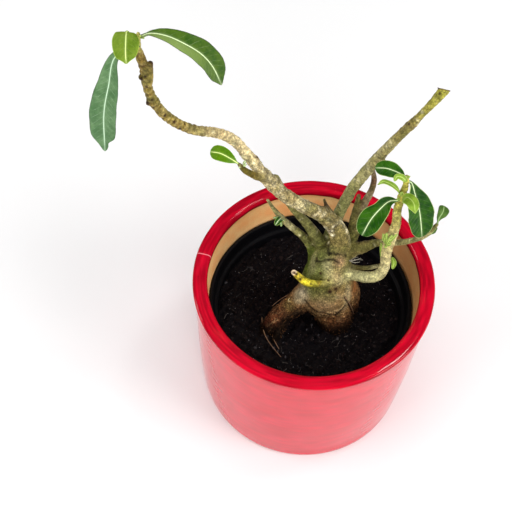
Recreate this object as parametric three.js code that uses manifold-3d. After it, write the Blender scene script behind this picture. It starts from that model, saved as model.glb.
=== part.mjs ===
// A desert rose (adenium) in a black nursery pot, standing in a red glazed terracotta pot.
// Millimetres, +Z up, origin at the centre of the glazed pot's foot, on the surface it stands on.
// +X is to the right and -Y towards the front of the plant, which leans out to the left and back.
import * as THREE from "three";
import { mergeVertices } from "three/addons/utils/BufferGeometryUtils.js";
import Module from "manifold-3d";

const wasm = await Module();
wasm.setup();

// Driving dimensions
const GLAZED = {
  height: 110,
  rimRadius: 68,
  mouthRadius: 59.6,
  lipDepth: 3.6,
  lipOuterRounding: 2,
  lipInnerRounding: 1.5,
  wallTopRadius: 66.7,
  wallFootRadius: 63.6,
  wallSwell: 0.8,
  cornerRadius: 3.5,
  floor: 8,
  segments: 48,
};
const NURSERY = {
  rimHeight: 87,
  lipRadius: 58.7,
  lipWidth: 2.4,
  bandRadius: 57.6,
  bandDepth: 10,
  ledge: 2.6,
  baseRadius: 43,
  wall: 1.4,
  drainHoles: 6,
  drainRadius: 4,
  drainCircle: 31,
  segments: 40,
};
const SOIL_TOP = 75;
const SOIL_RELIEF = 1.5;
const GAP = 0.3;
const LEAF_THICKNESS = 0.9;
const LEAF_EDGE = 0.6;
const LEAF_TIP = 0.9;
const RIB_DEPTH = 0.7;

const COLOURS = {
  glaze: { color: 0xc60f2c, roughness: 0.16, metalness: 0 },
  plastic: { color: 0x0b0b0d, roughness: 0.4, metalness: 0 },
  soil: { color: 0x120d0b, roughness: 0.95, metalness: 0 },
  bark: { color: 0x8b8762, roughness: 0.75, metalness: 0 },
  leafDark: { color: 0x1f5a1c, roughness: 0.38, metalness: 0 },
  leafDull: { color: 0x4c7a5b, roughness: 0.45, metalness: 0 },
  leafYoung: { color: 0x6c9a26, roughness: 0.42, metalness: 0 },
};

// Stems and roots, each a list of [x, y, z, radius] from where it starts to its tip
const CAUDEX = [
  [12, 10, 124, 7.5],
  [10, 6.5, 118, 10.8],
  [9, 4, 112, 12.6],
  [9, 2, 106, 14.6],
  [9, 0, 100, 15.8],
  [10, -1, 94, 14.6],
  [11, -3, 88, 11],
];
const ROOTS = {
  front: [
    [10.5, -1, 97, 12],
    [13, -4.5, 87, 11],
    [15, -7.5, 77, 10.3],
    [15.5, -9, 66, 7],
    [16, -10.5, 54, 3.5],
  ],
  left: [
    [4, -3, 100, 10],
    [-3.5, -5.5, 98, 7.8],
    [-9, -8, 93, 6.6],
    [-15, -10, 87.5, 5.7],
    [-20.5, -13, 82, 5.2],
    [-24, -15, 75, 4.5],
    [-26, -18, 62, 2.4],
  ],
  toe: [
    [-13, -10, 87, 4],
    [-16, -16, 81, 3],
    [-19, -21.5, 75, 2.4],
    [-20, -26, 64, 1.4],
  ],
  side: [
    [17, 2, 100, 9],
    [22, 1, 92, 6.6],
    [23, 0, 84, 5.6],
    [24, -1, 74, 4.6],
    [27, -2, 60, 2.4],
  ],
  back: [
    [10, 4, 97, 9.5],
    [13, 13, 87, 7],
    [16, 20, 77, 5.2],
    [18, 25, 62, 2.6],
  ],
};
const BRANCHES = {
  leaning: [
    [16, 10, 112, 5.1],
    [15.5, 11.5, 123, 5.7],
    [14, 12.5, 132, 5.6],
    [11, 14, 141, 5.1],
    [3, 13.5, 153.5, 4.2],
    [-7, 12.5, 162.5, 3.6],
    [-18, 12, 173, 3.6],
    [-28.5, 14.5, 185, 3.2],
    [-38, 18, 199, 2.8],
    [-45.5, 20, 208, 2.7],
    [-53.5, 19.5, 213, 2.5],
    [-64, 17, 218, 2.4],
    [-73.5, 16, 226, 2.4],
    [-80.3, 16, 237, 2.3],
    [-83.3, 17, 248.5, 2.2],
    [-83.4, 18.5, 256, 2.3],
    [-85.3, 20.5, 262.5, 2.1],
    [-86, 22.5, 267.5, 1.1],
    [-85.8, 24, 274, 0.9],
  ],
  cut: [
    [10.5, 16, 112, 5.7],
    [9.5, 19.5, 124, 4.1],
    [11, 21, 137, 3.4],
    [13.5, 22, 149, 3.1],
    [17.5, 25, 161, 3.1],
    [24, 27.5, 175, 3],
    [31.5, 27, 194, 2.7],
    [38.5, 25.7, 211, 2.3],
    [42, 25.5, 218, 2.35],
    [43.7, 26, 221, 1.95],
    [48.2, 27.2, 228.5, 2],
    [51.5, 28, 235, 2.4],
    [54.5, 29, 241.5, 2.7],
  ],
  middle: [
    [5.5, 12, 111, 6.2],
    [4, 15, 121, 3.7],
    [0.5, 17, 128.5, 3.4],
    [-4, 19.5, 135, 2.7],
    [-10, 22, 142.5, 2.5],
    [-17.5, 25, 155, 2.4],
    [-23, 27, 167, 2.2],
  ],
  left: [
    [2.5, 12, 111, 4.5],
    [-1, 15, 119, 2.7],
    [-5, 17.5, 124.5, 2.3],
    [-12.5, 19.5, 132, 1.9],
    [-19, 21.5, 138.5, 1.7],
    [-23.5, 22.5, 146, 1],
    [-26.5, 24, 151, 0.8],
  ],
  curled: [
    [9.5, 3.5, 116, 6.5],
    [17.5, 0, 117, 3.6],
    [24.5, -2, 118, 3],
    [31, -3.5, 119.5, 3.2],
    [36.2, -3, 122, 3],
    [38.3, -1, 127, 2.8],
    [38.3, 1.5, 133, 2.8],
    [38.7, 4, 139, 2.9],
    [40.5, 7.5, 147, 2.7],
    [41.5, 9.5, 156, 2.4],
    [41, 12, 162.5, 2.2],
    [42, 14, 171.5, 2.1],
    [43, 15.5, 179, 1.6],
    [42.5, 15.5, 187, 1.3],
  ],
  right: [
    [14, 12, 116, 5.6],
    [22.5, 13, 121, 3.8],
    [28, 13.5, 123.5, 3.2],
    [34, 14, 127, 2.1],
    [40.5, 12.5, 130.5, 1.8],
    [47, 10.5, 134, 1.6],
    [53, 9.5, 138.5, 1.5],
    [59.5, 9.5, 144.5, 1.4],
    [63.5, 11.5, 151, 1],
  ],
  low: [
    [16, 8, 109, 3.4],
    [23, 8, 110.5, 1.5],
    [29.5, 7, 111.5, 1.3],
    [36, 7.5, 113, 1.2],
    [42.5, 8.5, 116, 0.9],
  ],
  thin: [
    [16, 15, 114, 5],
    [22, 19.5, 125, 2.8],
    [24, 23.5, 136, 2.3],
    [25.5, 26, 145, 2.1],
    [29, 29, 157, 1.7],
    [29.5, 31, 163.5, 1.5],
    [28.5, 32.5, 168, 1.2],
  ],
  stub: [
    [15, 15, 114, 4.5],
    [20, 19.5, 124.5, 2.3],
    [21, 23.5, 136, 2],
    [22, 26.5, 143.5, 1.6],
    [22.5, 28.5, 151, 1.2],
  ],
  yellow: [
    [14, 2, 113, 4],
    [11, -4.5, 117, 2.2],
    [6.5, -8, 118.5, 2],
    [1, -9, 119.5, 2.2],
    [-4, -8.5, 120.5, 2.2],
    [-7, -6.7, 121.2, 2],
    [-9.3, -4.9, 122, 1.6],
  ],
  twig: [
    [8, 16, 149, 1.5],
    [5.5, 17.5, 155, 1],
    [4, 17, 159, 0.8],
    [3, 17, 163, 0.6],
  ],
  sprig: [
    [-29.5, 13.5, 187, 2.3],
    [-32, 11, 189.5, 1.9],
    [-35.5, 9.5, 194, 1.7],
    [-38.5, 8.5, 198, 1.5],
    [-41.3, 8.5, 202.6, 1],
  ],
};
// The clean slanting cut that ends the cut branch
const CUT_PLACE = new THREE.Vector3(53.3, 28.6, 238.8);
const CUT_WAY = new THREE.Vector3(0.2, 0.76, 0.62).normalize();
// Old leaf scars that stand out as small knobs, each [x, y, z, radius] in the wood and at its end
const KNOBS = [
  [[-82.3, 17.5, 252, 1.5], [-81.6, 18, 257, 1.4], [-81, 18.3, 261.5, 1.3]],
  [[-83, 18, 253.5, 1.2], [-85.9, 16.8, 254, 0.8]],
  [[-80, 16, 239, 1.2], [-83.5, 14.5, 239, 0.8]],
  [[-35, 17, 194, 1.4], [-33.2, 17.6, 195.8, 0.8]],
  [[28.5, 27, 187, 1.2], [32, 25.5, 186, 0.8]],
];

// Leaves, each from its seat in the stem by way of its arch to its tip, with the way its face looks
// and, where it stands off on a bare stalk, the share of its length that the stalk takes
const LEAVES = {
  leaf_tip_hanging: {
    path: [[-85.5, 22, 269], [-94.5, 17, 267], [-100, 11.5, 253.5], [-103, 6.5, 241], [-103.8, 0.8, 222]],
    width: 13.2,
    widest: 0.62,
    fold: 0.12,
    face: [-0.1, -0.6, 0.75],
    colour: "leafDull",
  },
  leaf_tip_facing: {
    path: [
      [-85.9, 23.6, 271], [-88.3, 24.8, 273.8], [-90.2, 23.4, 274.5], [-90.9, 19.8, 273],
      [-90.9, 16.3, 270.5], [-90.5, 13.4, 267.3],
    ],
    stalk: 0.26,
    width: 11.6,
    widest: 0.45,
    fold: 0.16,
    face: [0.1, -0.65, 0.75],
    colour: "leafYoung",
  },
  leaf_tip_arching: {
    path: [
      [-85, 25, 271], [-79, 19.5, 279], [-72, 15.8, 281.5], [-65, 13.8, 279.5], [-58.5, 13.8, 274],
      [-53.5, 14, 266], [-49.5, 13.5, 254.5],
    ],
    width: 11.6,
    widest: 0.7,
    fold: 0.3,
    face: [0.3, -0.5, 0.8],
    colour: "leafDark",
  },
  leaf_sprig: {
    path: [[-41.5, 9, 202.5], [-46, 9, 207], [-50.5, 10.5, 208.5], [-55.5, 12.5, 207]],
    width: 7.4,
    widest: 0.68,
    fold: 0.2,
    face: [0, -0.6, 0.8],
    colour: "leafYoung",
  },
  leaf_crown_back: {
    path: [[42.4, 15.8, 184.6], [39.8, 16.4, 188.2], [37, 16.4, 190.2], [32.2, 17.2, 191.6], [26.7, 19.5, 188.8]],
    width: 8,
    widest: 0.62,
    fold: 0.2,
    face: [0, -0.55, 0.8],
    colour: "leafDark",
  },
  leaf_crown_young: {
    path: [[42.8, 15.2, 184.5], [41.6, 12.6, 188.6], [39, 11.8, 192], [36.8, 11.4, 192.8], [35.6, 10.2, 190.6]],
    width: 3.2,
    widest: 0.6,
    fold: 0.3,
    face: [-0.3, -0.4, 0.85],
    colour: "leafYoung",
  },
  leaf_crown_curled: {
    path: [[41.5, 14.5, 171], [39, 14, 178], [34.5, 14, 183], [30.5, 14.5, 184], [28.5, 14, 182]],
    width: 2.6,
    widest: 0.6,
    fold: 0.5,
    face: [0.6, -0.4, 0.7],
    colour: "leafYoung",
  },
  leaf_crown_left: {
    path: [[41.2, 13.3, 169.8], [35.2, 9.8, 173.5], [30.7, 5.3, 173.5], [26.3, 1.1, 170], [22.3, -3.3, 161]],
    width: 12.4,
    widest: 0.68,
    fold: 0.14,
    face: [-0.15, -0.6, 0.75],
    colour: "leafDark",
  },
  leaf_crown_right: {
    path: [[42.7, 15.8, 182], [45, 16.2, 182.2], [48.7, 14.3, 174], [52.4, 10.9, 163.5], [55.7, 5.2, 148.5]],
    width: 15,
    widest: 0.62,
    fold: 0.2,
    face: [0.25, -0.6, 0.7],
    colour: "leafDark",
  },
  leaf_crown_front: {
    path: [[42.2, 13.3, 171.5], [44.4, 9.3, 178], [46.6, 4.3, 180], [47.3, -0.6, 178.5]],
    width: 7.4,
    widest: 0.62,
    fold: 0.18,
    face: [0.1, -0.55, 0.8],
    colour: "leafYoung",
  },
  leaf_right_spoon: {
    path: [[63.5, 11.5, 150.5], [64.5, 13.5, 155], [66, 15.5, 157], [67, 19.5, 157]],
    width: 6,
    widest: 0.7,
    fold: 0.15,
    face: [0.15, -0.6, 0.75],
    colour: "leafDull",
  },
  leaf_low: {
    path: [[42.3, 8.3, 116], [44, 9, 118.8], [44.8, 6.6, 118.8], [44.3, 4.2, 116]],
    width: 3,
    widest: 0.6,
    fold: 0.2,
    face: [0.3, -0.6, 0.7],
    colour: "leafYoung",
  },
  leaf_right_hanging: {
    path: [[36.8, 13.4, 128.8], [36.5, 9.4, 130.8], [37, 6.5, 129.3], [37.4, 4.4, 125]],
    width: 2.4,
    widest: 0.6,
    fold: 0.3,
    face: [-0.2, -0.7, 0.6],
    colour: "leafYoung",
  },
  leaf_right_upright: {
    path: [[37, 13.4, 128.8], [38.2, 14.3, 132.2], [39.8, 15.2, 133.8], [41.6, 16, 134.4]],
    width: 3,
    widest: 0.6,
    fold: 0.3,
    face: [0, -0.6, 0.8],
    colour: "leafYoung",
  },
  leaf_left_bud: {
    path: [[-19, 21, 138.5], [-19.5, 18, 142], [-20.5, 16, 143], [-22, 14.5, 141]],
    width: 3.6,
    widest: 0.6,
    fold: 0.3,
    face: [0, -0.6, 0.8],
    colour: "leafYoung",
  },
};

function material(name) {
  return new THREE.MeshStandardMaterial(COLOURS[name]);
}

// A closed body through rings that all have the same number of points, each end closed by a fan
function loft(rings) {
  const count = rings[0].length;
  const vertices = rings.flat().flatMap((p) => [p.x, p.y, p.z]);
  const triangles = [];
  for (let i = 0; i + 1 < rings.length; i++) {
    for (let j = 0; j < count; j++) {
      const a = i * count + j;
      const b = i * count + ((j + 1) % count);
      triangles.push(a, b, b + count, a, b + count, a + count);
    }
  }
  const capEnd = (ring, first, turned) => {
    const centre = ring
      .reduce((sum, p) => sum.add(p), new THREE.Vector3())
      .divideScalar(count);
    const middle = vertices.length / 3;
    vertices.push(centre.x, centre.y, centre.z);
    for (let j = 0; j < count; j++) {
      const a = first + j;
      const b = first + ((j + 1) % count);
      triangles.push(...(turned ? [middle, b, a] : [middle, a, b]));
    }
  };
  capEnd(rings[0], 0, true);
  capEnd(rings.at(-1), (rings.length - 1) * count, false);
  return new THREE.BufferGeometry()
    .setAttribute("position", new THREE.Float32BufferAttribute(vertices, 3))
    .setIndex(triangles);
}

function toSolid(geometry) {
  const bare = geometry.clone();
  bare.deleteAttribute("normal");
  bare.deleteAttribute("uv");
  const merged = mergeVertices(bare, 1e-3);
  return new wasm.Manifold(
    new wasm.Mesh({
      numProp: 3,
      vertProperties: merged.attributes.position.array,
      triVerts: new Uint32Array(merged.index.array),
    }),
  );
}

function toGeometry(solid) {
  const mesh = solid.getMesh();
  return new THREE.BufferGeometry()
    .setAttribute("position", new THREE.Float32BufferAttribute(mesh.vertProperties, 3))
    .setIndex(new THREE.BufferAttribute(mesh.triVerts, 1));
}

// A tapering round stem along rows of [x, y, z, radius]; extra widens it everywhere
function stem(rows, { sides = 9, ringsPerStep = 2, extra = 0 } = {}) {
  const path = new THREE.CatmullRomCurve3(rows.map(([x, y, z]) => new THREE.Vector3(x, y, z)));
  const steps = (rows.length - 1) * ringsPerStep;
  const start = path.getTangent(0);
  let side = new THREE.Vector3(0, 0, 1).cross(start);
  if (side.length() < 0.2) side = new THREE.Vector3(1, 0, 0).cross(start);
  side.normalize();
  const rings = [];
  for (let i = 0; i <= steps; i++) {
    const t = i / steps;
    const along = t * (rows.length - 1);
    const step = Math.min(Math.floor(along), rows.length - 2);
    const share = along - step;
    const radius = rows[step][3] * (1 - share) + rows[step + 1][3] * share + extra;
    const centre = path.getPoint(t);
    const tangent = path.getTangent(t);
    side.addScaledVector(tangent, -side.dot(tangent)).normalize();
    const up = tangent.clone().cross(side);
    const ring = [];
    for (let j = 0; j < sides; j++) {
      const angle = (2 * Math.PI * j) / sides;
      ring.push(
        centre
          .clone()
          .addScaledVector(side, radius * Math.cos(angle))
          .addScaledVector(up, radius * Math.sin(angle)),
      );
    }
    rings.push(ring);
  }
  return loft(rings);
}

// The whole woody plant, grown as one piece; extra widens it for the clearance round it
function plantSolid(extra = 0) {
  const bodies = [
    stem(CAUDEX, { sides: 16, extra }),
    ...Object.values(ROOTS).map((rows) => stem(rows, { sides: 10, extra })),
    ...Object.values(BRANCHES).map((rows) => stem(rows, { sides: rows[1][3] > 2.5 ? 9 : 7, extra })),
    ...KNOBS.map((rows) => stem(rows, { sides: 6, ringsPerStep: 1, extra })),
  ];
  return bodies
    .map(toSolid)
    .reduce((whole, body) => whole.add(body))
    .trimByPlane(CUT_WAY.clone().negate().toArray(), -CUT_PLACE.dot(CUT_WAY) - extra);
}

// A leathery leaf: a petiole that widens into a folded, arched blade with a raised rib below
function leafSolid({ path, width, widest, fold, face, stalk = 0 }) {
  const curve = new THREE.CatmullRomCurve3(path.map((p) => new THREE.Vector3(...p)));
  const facing = new THREE.Vector3(...face).normalize();
  const large = width > 5;
  const steps = large ? 10 : 7;
  const shares = large ? [-1, -0.5, 0, 0.5, 1] : [-1, 0, 1];
  const petiole = large ? 1.9 : 1.2;
  const rings = [];
  for (let i = 0; i <= steps; i++) {
    const t = i / steps;
    const slender = THREE.MathUtils.lerp(petiole / 2, LEAF_TIP / 2, t);
    const bladeRun = Math.max(0, (t - stalk) / (1 - stalk));
    const half = Math.max(slender, (width / 2) * bladeShare(bladeRun, widest));
    const middle = THREE.MathUtils.lerp(petiole, LEAF_THICKNESS, Math.min(1, t * 3));
    const centre = curve.getPointAt(t);
    const tangent = curve.getTangentAt(t);
    const across = tangent.clone().cross(facing).normalize();
    const up = across.clone().cross(tangent).normalize();
    const point = (share, side) => {
      const thickness = THREE.MathUtils.lerp(middle, LEAF_EDGE, Math.abs(share));
      const rib = share === 0 && side < 0 ? RIB_DEPTH : 0;
      return centre
        .clone()
        .addScaledVector(across, half * share)
        .addScaledVector(up, half * fold * Math.abs(share) + side * (thickness / 2 + rib));
    };
    rings.push([
      ...shares.map((share) => point(share, 1)),
      ...shares.toReversed().map((share) => point(share, -1)),
    ]);
  }
  return toSolid(loft(rings));
}

// How much of its width a blade has along its length: a slow widening, then a round end
function bladeShare(t, widest) {
  if (t < widest) return Math.sin(((t / widest) * Math.PI) / 2) ** 1.35;
  const beyond = (t - widest) / (1 - widest);
  return Math.sqrt(Math.max(0, 1 - beyond ** 2.3));
}

function arc(radius, height, size, from, to, steps) {
  return Array.from({ length: steps + 1 }, (_, i) => {
    const angle = THREE.MathUtils.degToRad(from + ((to - from) * i) / steps);
    return new THREE.Vector2(radius + size * Math.cos(angle), height + size * Math.sin(angle));
  });
}

// A round body turned about the vertical axis from an outline of radius and height
function turned(outline, segments) {
  return new THREE.LatheGeometry(outline, segments).rotateX(Math.PI / 2);
}

function glazedPot() {
  const p = GLAZED;
  const { lipOuterRounding: outer, lipInnerRounding: inner } = p;
  const innerFloorRadius = p.wallFootRadius - 8;
  const outline = [
    new THREE.Vector2(0, 0),
    ...arc(p.wallFootRadius - p.cornerRadius, p.cornerRadius, p.cornerRadius, -90, 0, 4),
    new THREE.Vector2((p.wallFootRadius + p.wallTopRadius) / 2 + p.wallSwell, p.height * 0.5),
    new THREE.Vector2(p.wallTopRadius, p.height - p.lipDepth - 2),
    new THREE.Vector2(p.wallTopRadius - 0.4, p.height - p.lipDepth - 0.6),
    new THREE.Vector2(p.rimRadius - 0.2, p.height - p.lipDepth + 0.4),
    ...arc(p.rimRadius - outer, p.height - outer, outer, 0, 90, 3),
    ...arc(p.mouthRadius + inner, p.height - inner, inner, 90, 180, 3),
    new THREE.Vector2(p.mouthRadius + 0.3, p.height - 10),
    new THREE.Vector2(innerFloorRadius + 0.4, p.floor + 8),
    new THREE.Vector2(innerFloorRadius - 5, p.floor),
    new THREE.Vector2(0, p.floor),
  ];
  return turned(outline, p.segments);
}

function nurseryOutline() {
  const p = NURSERY;
  const base = GLAZED.floor + GAP;
  const top = p.rimHeight;
  const ledgeHeight = top - p.bandDepth;
  const ledgeRadius = p.bandRadius - p.ledge;
  return {
    outer: [
      new THREE.Vector2(0, base + 1.2),
      new THREE.Vector2(p.baseRadius - 8, base + 1.2),
      new THREE.Vector2(p.baseRadius - 6, base),
      new THREE.Vector2(p.baseRadius - 1, base),
      new THREE.Vector2(p.baseRadius, base + 1.5),
      new THREE.Vector2(ledgeRadius, ledgeHeight - 1),
      new THREE.Vector2(p.bandRadius - 0.4, ledgeHeight + 0.6),
      new THREE.Vector2(p.bandRadius, top - 3),
      new THREE.Vector2(p.lipRadius, top - 2),
      new THREE.Vector2(p.lipRadius, top - 0.6),
      new THREE.Vector2(p.lipRadius - 0.8, top),
    ],
    inner: [
      new THREE.Vector2(p.lipRadius - p.lipWidth, top),
      new THREE.Vector2(p.bandRadius - p.wall - 0.2, top - 1.2),
      new THREE.Vector2(p.bandRadius - p.wall - 0.4, ledgeHeight + 1.8),
      new THREE.Vector2(ledgeRadius - p.wall, ledgeHeight + 0.4),
      new THREE.Vector2(p.baseRadius - p.wall, base + 3),
      new THREE.Vector2(0, base + 3),
    ],
  };
}

function nurseryPot() {
  const { outer, inner } = nurseryOutline();
  let pot = toSolid(turned([...outer, ...inner], NURSERY.segments));
  for (let i = 0; i < NURSERY.drainHoles; i++) {
    const angle = (2 * Math.PI * i) / NURSERY.drainHoles;
    const hole = new THREE.CylinderGeometry(NURSERY.drainRadius, NURSERY.drainRadius, 20, 10)
      .rotateX(Math.PI / 2)
      .translate(
        NURSERY.drainCircle * Math.cos(angle),
        NURSERY.drainCircle * Math.sin(angle),
        GLAZED.floor,
      );
    pot = pot.subtract(toSolid(hole));
  }
  return toGeometry(pot);
}

// Height of the crumbly soil surface, sunk a little at the edge and heaped round the roots
function soilHeight(x, y, edge) {
  const crumbs =
    Math.sin(x * 0.55 + y * 0.21) * Math.cos(y * 0.62 - x * 0.17) +
    0.6 * Math.sin(x * 1.13 - y * 0.9 + 2) +
    0.4 * Math.cos(y * 1.31 + x * 0.77);
  const heap = 2.2 * Math.exp(-((x - 4) ** 2 + (y + 4) ** 2) / 700);
  const radius = Math.hypot(x, y);
  return SOIL_TOP + heap + SOIL_RELIEF * crumbs * 0.6 - 2.5 * (radius / edge) ** 6;
}

function soilBlock() {
  const { inner } = nurseryOutline();
  const wallFoot = inner.at(-2);
  const wallTop = inner.at(-3);
  const bottom = wallFoot.y + GAP;
  const sectors = 40;
  const shares = [0.97, 0.9, 0.81, 0.71, 0.6, 0.49, 0.38, 0.27, 0.16, 0.07];
  const radiusAt = (height) => {
    const share = (height - wallFoot.y) / (wallTop.y - wallFoot.y);
    return wallFoot.x + (wallTop.x - wallFoot.x) * share - GAP * 1.6;
  };
  const edgeHeight = SOIL_TOP - 3;
  const edge = radiusAt(edgeHeight);
  const ring = (radius, heightAt) =>
    Array.from({ length: sectors }, (_, j) => {
      const angle = (2 * Math.PI * j) / sectors;
      const x = radius * Math.cos(angle);
      const y = radius * Math.sin(angle);
      return new THREE.Vector3(x, y, heightAt(x, y));
    });
  const rings = [
    ring(radiusAt(bottom) - 1, () => bottom),
    ring(radiusAt(bottom), () => bottom + 1),
    ring(edge, () => edgeHeight),
    ...shares.map((share) => ring(edge * share, (x, y) => soilHeight(x, y, edge))),
  ];
  return toSolid(loft(rings));
}

// The soil with a plain pocket for each root
function soil() {
  const pockets = Object.values(ROOTS).map((rows) => toSolid(stem(rows, { sides: 10, extra: 0.5 })));
  const cut = pockets.reduce((block, pocket) => block.subtract(pocket), soilBlock());
  return toGeometry(largest(cut));
}

function largest(solid) {
  return solid.decompose().sort((a, b) => b.volume() - a.volume())[0];
}

const part = new THREE.Group();

function add(name, geometry, colour, group = part) {
  const mesh = new THREE.Mesh(geometry, material(colour));
  mesh.name = name;
  group.add(mesh);
}

add("glazed_pot", glazedPot(), "glaze");
add("nursery_pot", nurseryPot(), "plastic");
add("soil", soil(), "soil");
add("caudex_and_branches", toGeometry(plantSolid()), "bark");

const foliage = new THREE.Group();
part.add(foliage);
const clearance = plantSolid(GAP + 0.05);
for (const [name, leaf] of Object.entries(LEAVES)) {
  add(name, toGeometry(largest(leafSolid(leaf).subtract(clearance))), leaf.colour, foliage);
}

export default part;
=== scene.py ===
"""A desert rose in its black nursery pot and red glazed pot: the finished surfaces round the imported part.

Lengths are in millimetres, and become metres only where a mesh, a light or the camera is made.
"""
import math

import bpy
import numpy as np
from mathutils import Matrix, Vector
from mathutils.bvhtree import BVHTree


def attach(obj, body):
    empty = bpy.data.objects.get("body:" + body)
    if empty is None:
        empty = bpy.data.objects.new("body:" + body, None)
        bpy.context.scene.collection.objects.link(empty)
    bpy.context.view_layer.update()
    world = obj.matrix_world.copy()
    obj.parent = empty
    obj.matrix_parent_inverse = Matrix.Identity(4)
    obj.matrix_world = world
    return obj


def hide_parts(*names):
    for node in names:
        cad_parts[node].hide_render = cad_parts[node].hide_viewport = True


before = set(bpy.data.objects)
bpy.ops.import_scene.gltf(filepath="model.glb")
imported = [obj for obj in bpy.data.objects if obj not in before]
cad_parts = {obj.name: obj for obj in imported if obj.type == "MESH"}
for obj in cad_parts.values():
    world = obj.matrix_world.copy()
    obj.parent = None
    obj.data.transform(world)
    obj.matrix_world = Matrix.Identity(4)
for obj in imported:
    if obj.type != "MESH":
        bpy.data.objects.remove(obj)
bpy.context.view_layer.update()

MM = 0.001
TURN = 2 * math.pi

# The camera: where it stands, how far it looks down and tilts, and its focal length in pixels
IMAGE_SIZE = 512
SENSOR = 36.0
CAMERA_PLACE = np.array([-31.87, -283.11, 593.77])
LOOK_DOWN = math.radians(58.475)
CAMERA_TILT = math.radians(1.775)
FOCAL_PIXELS = 1001.0

# The red pot, which was thrown by hand and leans a little
POT_HEIGHT = 110.0
POT_LEAN = np.array([0.9, 0.6])
POT_SEGMENTS = 256
LIP_STEP = 0.45
WALL_RADIUS = 66
GROOVE_HEIGHT = 106.0
SEAM_AZIMUTH = math.radians(167.3)
# The share of its outline that runs outside, and the radius and height that bound the inside
OUTSIDE_SHARE = 0.62
INSIDE_RADIUS = 61.5
INSIDE_HEIGHT = 9.0
# Where its glaze changes on the wall, where it ends in the mouth and under the foot, and its streaks' size
WALL_TOP = 105.6
GLAZE_EDGE = 105.6
BARE_FOOT = 58.0
STREAK_SIZE = (9, 0.9, 1.6)

# The nursery pot
NURSERY_SEGMENTS = 180
NURSERY_SHIFT = np.array([0.35, 0.2])
DRAIN_HOLES = 6
DRAIN_RADIUS = 4.0
DRAIN_CIRCLE = 31.0

# The soil
SOIL_TOP = 75.0
SOIL_RELIEF = 0.9
SOIL_EDGE = 53.3
SOIL_SECTORS = 220
SOIL_RINGS = 84
CRUMBS = 4200
PALE_CRUMBS = 190
FIBRES = 200

# The plant: the size of its faces, the steps along its stems and how softly these melt together
VOXEL = 0.56
TUBE_STEP = 1.4
FILLET = 0.75

# Its bark: hairs and warts, the height below which it is fibrous, how far strokes shift from stem to stem,
# the spacing of its rings and the turn from one leaf scar to the next
HAIRS = 700
WARTS = 260
ROOT_TOP = 104.0
STEM_SHIFT = 7.0
RING_SPACING = 3.1
GOLDEN_ANGLE = 2.4

# How far round a stem its points are measured, what the gap counts as beyond that, and the points at a time
REACH = 9.0
FAR_GAP = 60.0
POINTS_AT_ONCE = 8000

# The side veins of a leaf
VEIN_SPACING = 3.1
VEIN_SLANT = 0.85


def srgb(red, green, blue):
    """A colour given as it looks on a screen, 0 to 255, as the linear one that shaders take."""
    shares = (channel / 255 for channel in (red, green, blue))
    return tuple(((share + 0.055) / 1.055) ** 2.4 if share > 0.04 else share / 12.92 for share in shares)


# Noise and small helpers

def lattice(cells, seed):
    """A repeatable number from 0 to 1 for each row of three whole numbers."""
    mixed = cells[:, 0] * 374761393 + cells[:, 1] * 668265263 + cells[:, 2] * 1440662683 + seed * 974634777
    mixed = mixed & 0xFFFFFFFF
    mixed = ((mixed ^ (mixed >> 13)) * 1274126177) & 0xFFFFFFFF
    return ((mixed ^ (mixed >> 16)) & 0xFFFF) / 65535.0


def noise(points, size, seed=0):
    """Smooth noise from -1 to 1 with lumps about as large as size, which may differ along each axis."""
    scaled = np.asarray(points, float) / size
    cell = np.floor(scaled).astype(np.int64)
    share = scaled - cell
    share = share * share * (3 - 2 * share)
    total = np.zeros(len(scaled))
    for corner in np.ndindex(2, 2, 2):
        weight = np.prod(np.where(corner, share, 1 - share), axis=1)
        total += weight * lattice(cell + np.array(corner), seed)
    return total * 2 - 1


def unit(vectors):
    return vectors / np.maximum(np.linalg.norm(vectors, axis=-1, keepdims=True), 1e-9)


def ramp(values, start, end):
    """Goes smoothly from 0 at start to 1 at end, which may be the lower one."""
    share = np.clip((values - start) / (end - start), 0, 1)
    return share * share * (3 - 2 * share)


def bell(distance, size):
    """Is 1 at no distance and fades to nearly 0 at twice the size."""
    return np.exp(-(distance / size) ** 2)


def blend(base, colour, share):
    """Moves each row of base by its share towards a colour given as it looks on a screen."""
    share = np.clip(share, 0, 1)[:, None]
    return base * (1 - share) + np.array(srgb(*colour)) * share


def spots_round(count):
    """Angles that share out one turn evenly."""
    return np.linspace(0, TURN, count, endpoint=False)


# Curves and closed bodies

def spline(rows, spacing):
    """Points about spacing apart on a centripetal Catmull-Rom curve; columns past the third follow along."""
    rows = np.asarray(rows, float)
    knots = np.vstack([2 * rows[0] - rows[1], rows, 2 * rows[-1] - rows[-2]])
    points = [rows[:1]]
    for a, b, c, d in zip(knots, knots[1:], knots[2:], knots[3:]):
        before, here, after = (math.sqrt(np.linalg.norm((q - p)[:3])) for p, q in ((a, b), (b, c), (c, d)))
        leave = ((b - a) / before - (c - a) / (before + here) + (c - b) / here) * here
        arrive = ((c - b) / here - (d - b) / (here + after) + (d - c) / after) * here
        count = max(2, round(float(np.linalg.norm((c - b)[:3])) / spacing))
        t = np.linspace(0, 1, count + 1)[1:, None]
        cubic, square = t ** 3, t ** 2
        points.append(
            b * (2 * cubic - 3 * square + 1)
            + c * (3 * square - 2 * cubic)
            + leave * (cubic - 2 * square + t)
            + arrive * (cubic - square)
        )
    return np.vstack(points)


def lengths(points):
    """How far along a line each of its points lies."""
    return np.concatenate([[0], np.cumsum(np.linalg.norm(np.diff(points, axis=0), axis=1))])


def evenly(points, count):
    """The same line with count points, evenly spaced."""
    run = lengths(points)
    wanted = np.linspace(0, run[-1], count)
    return np.column_stack([np.interp(wanted, run, column) for column in points.T])


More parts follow.
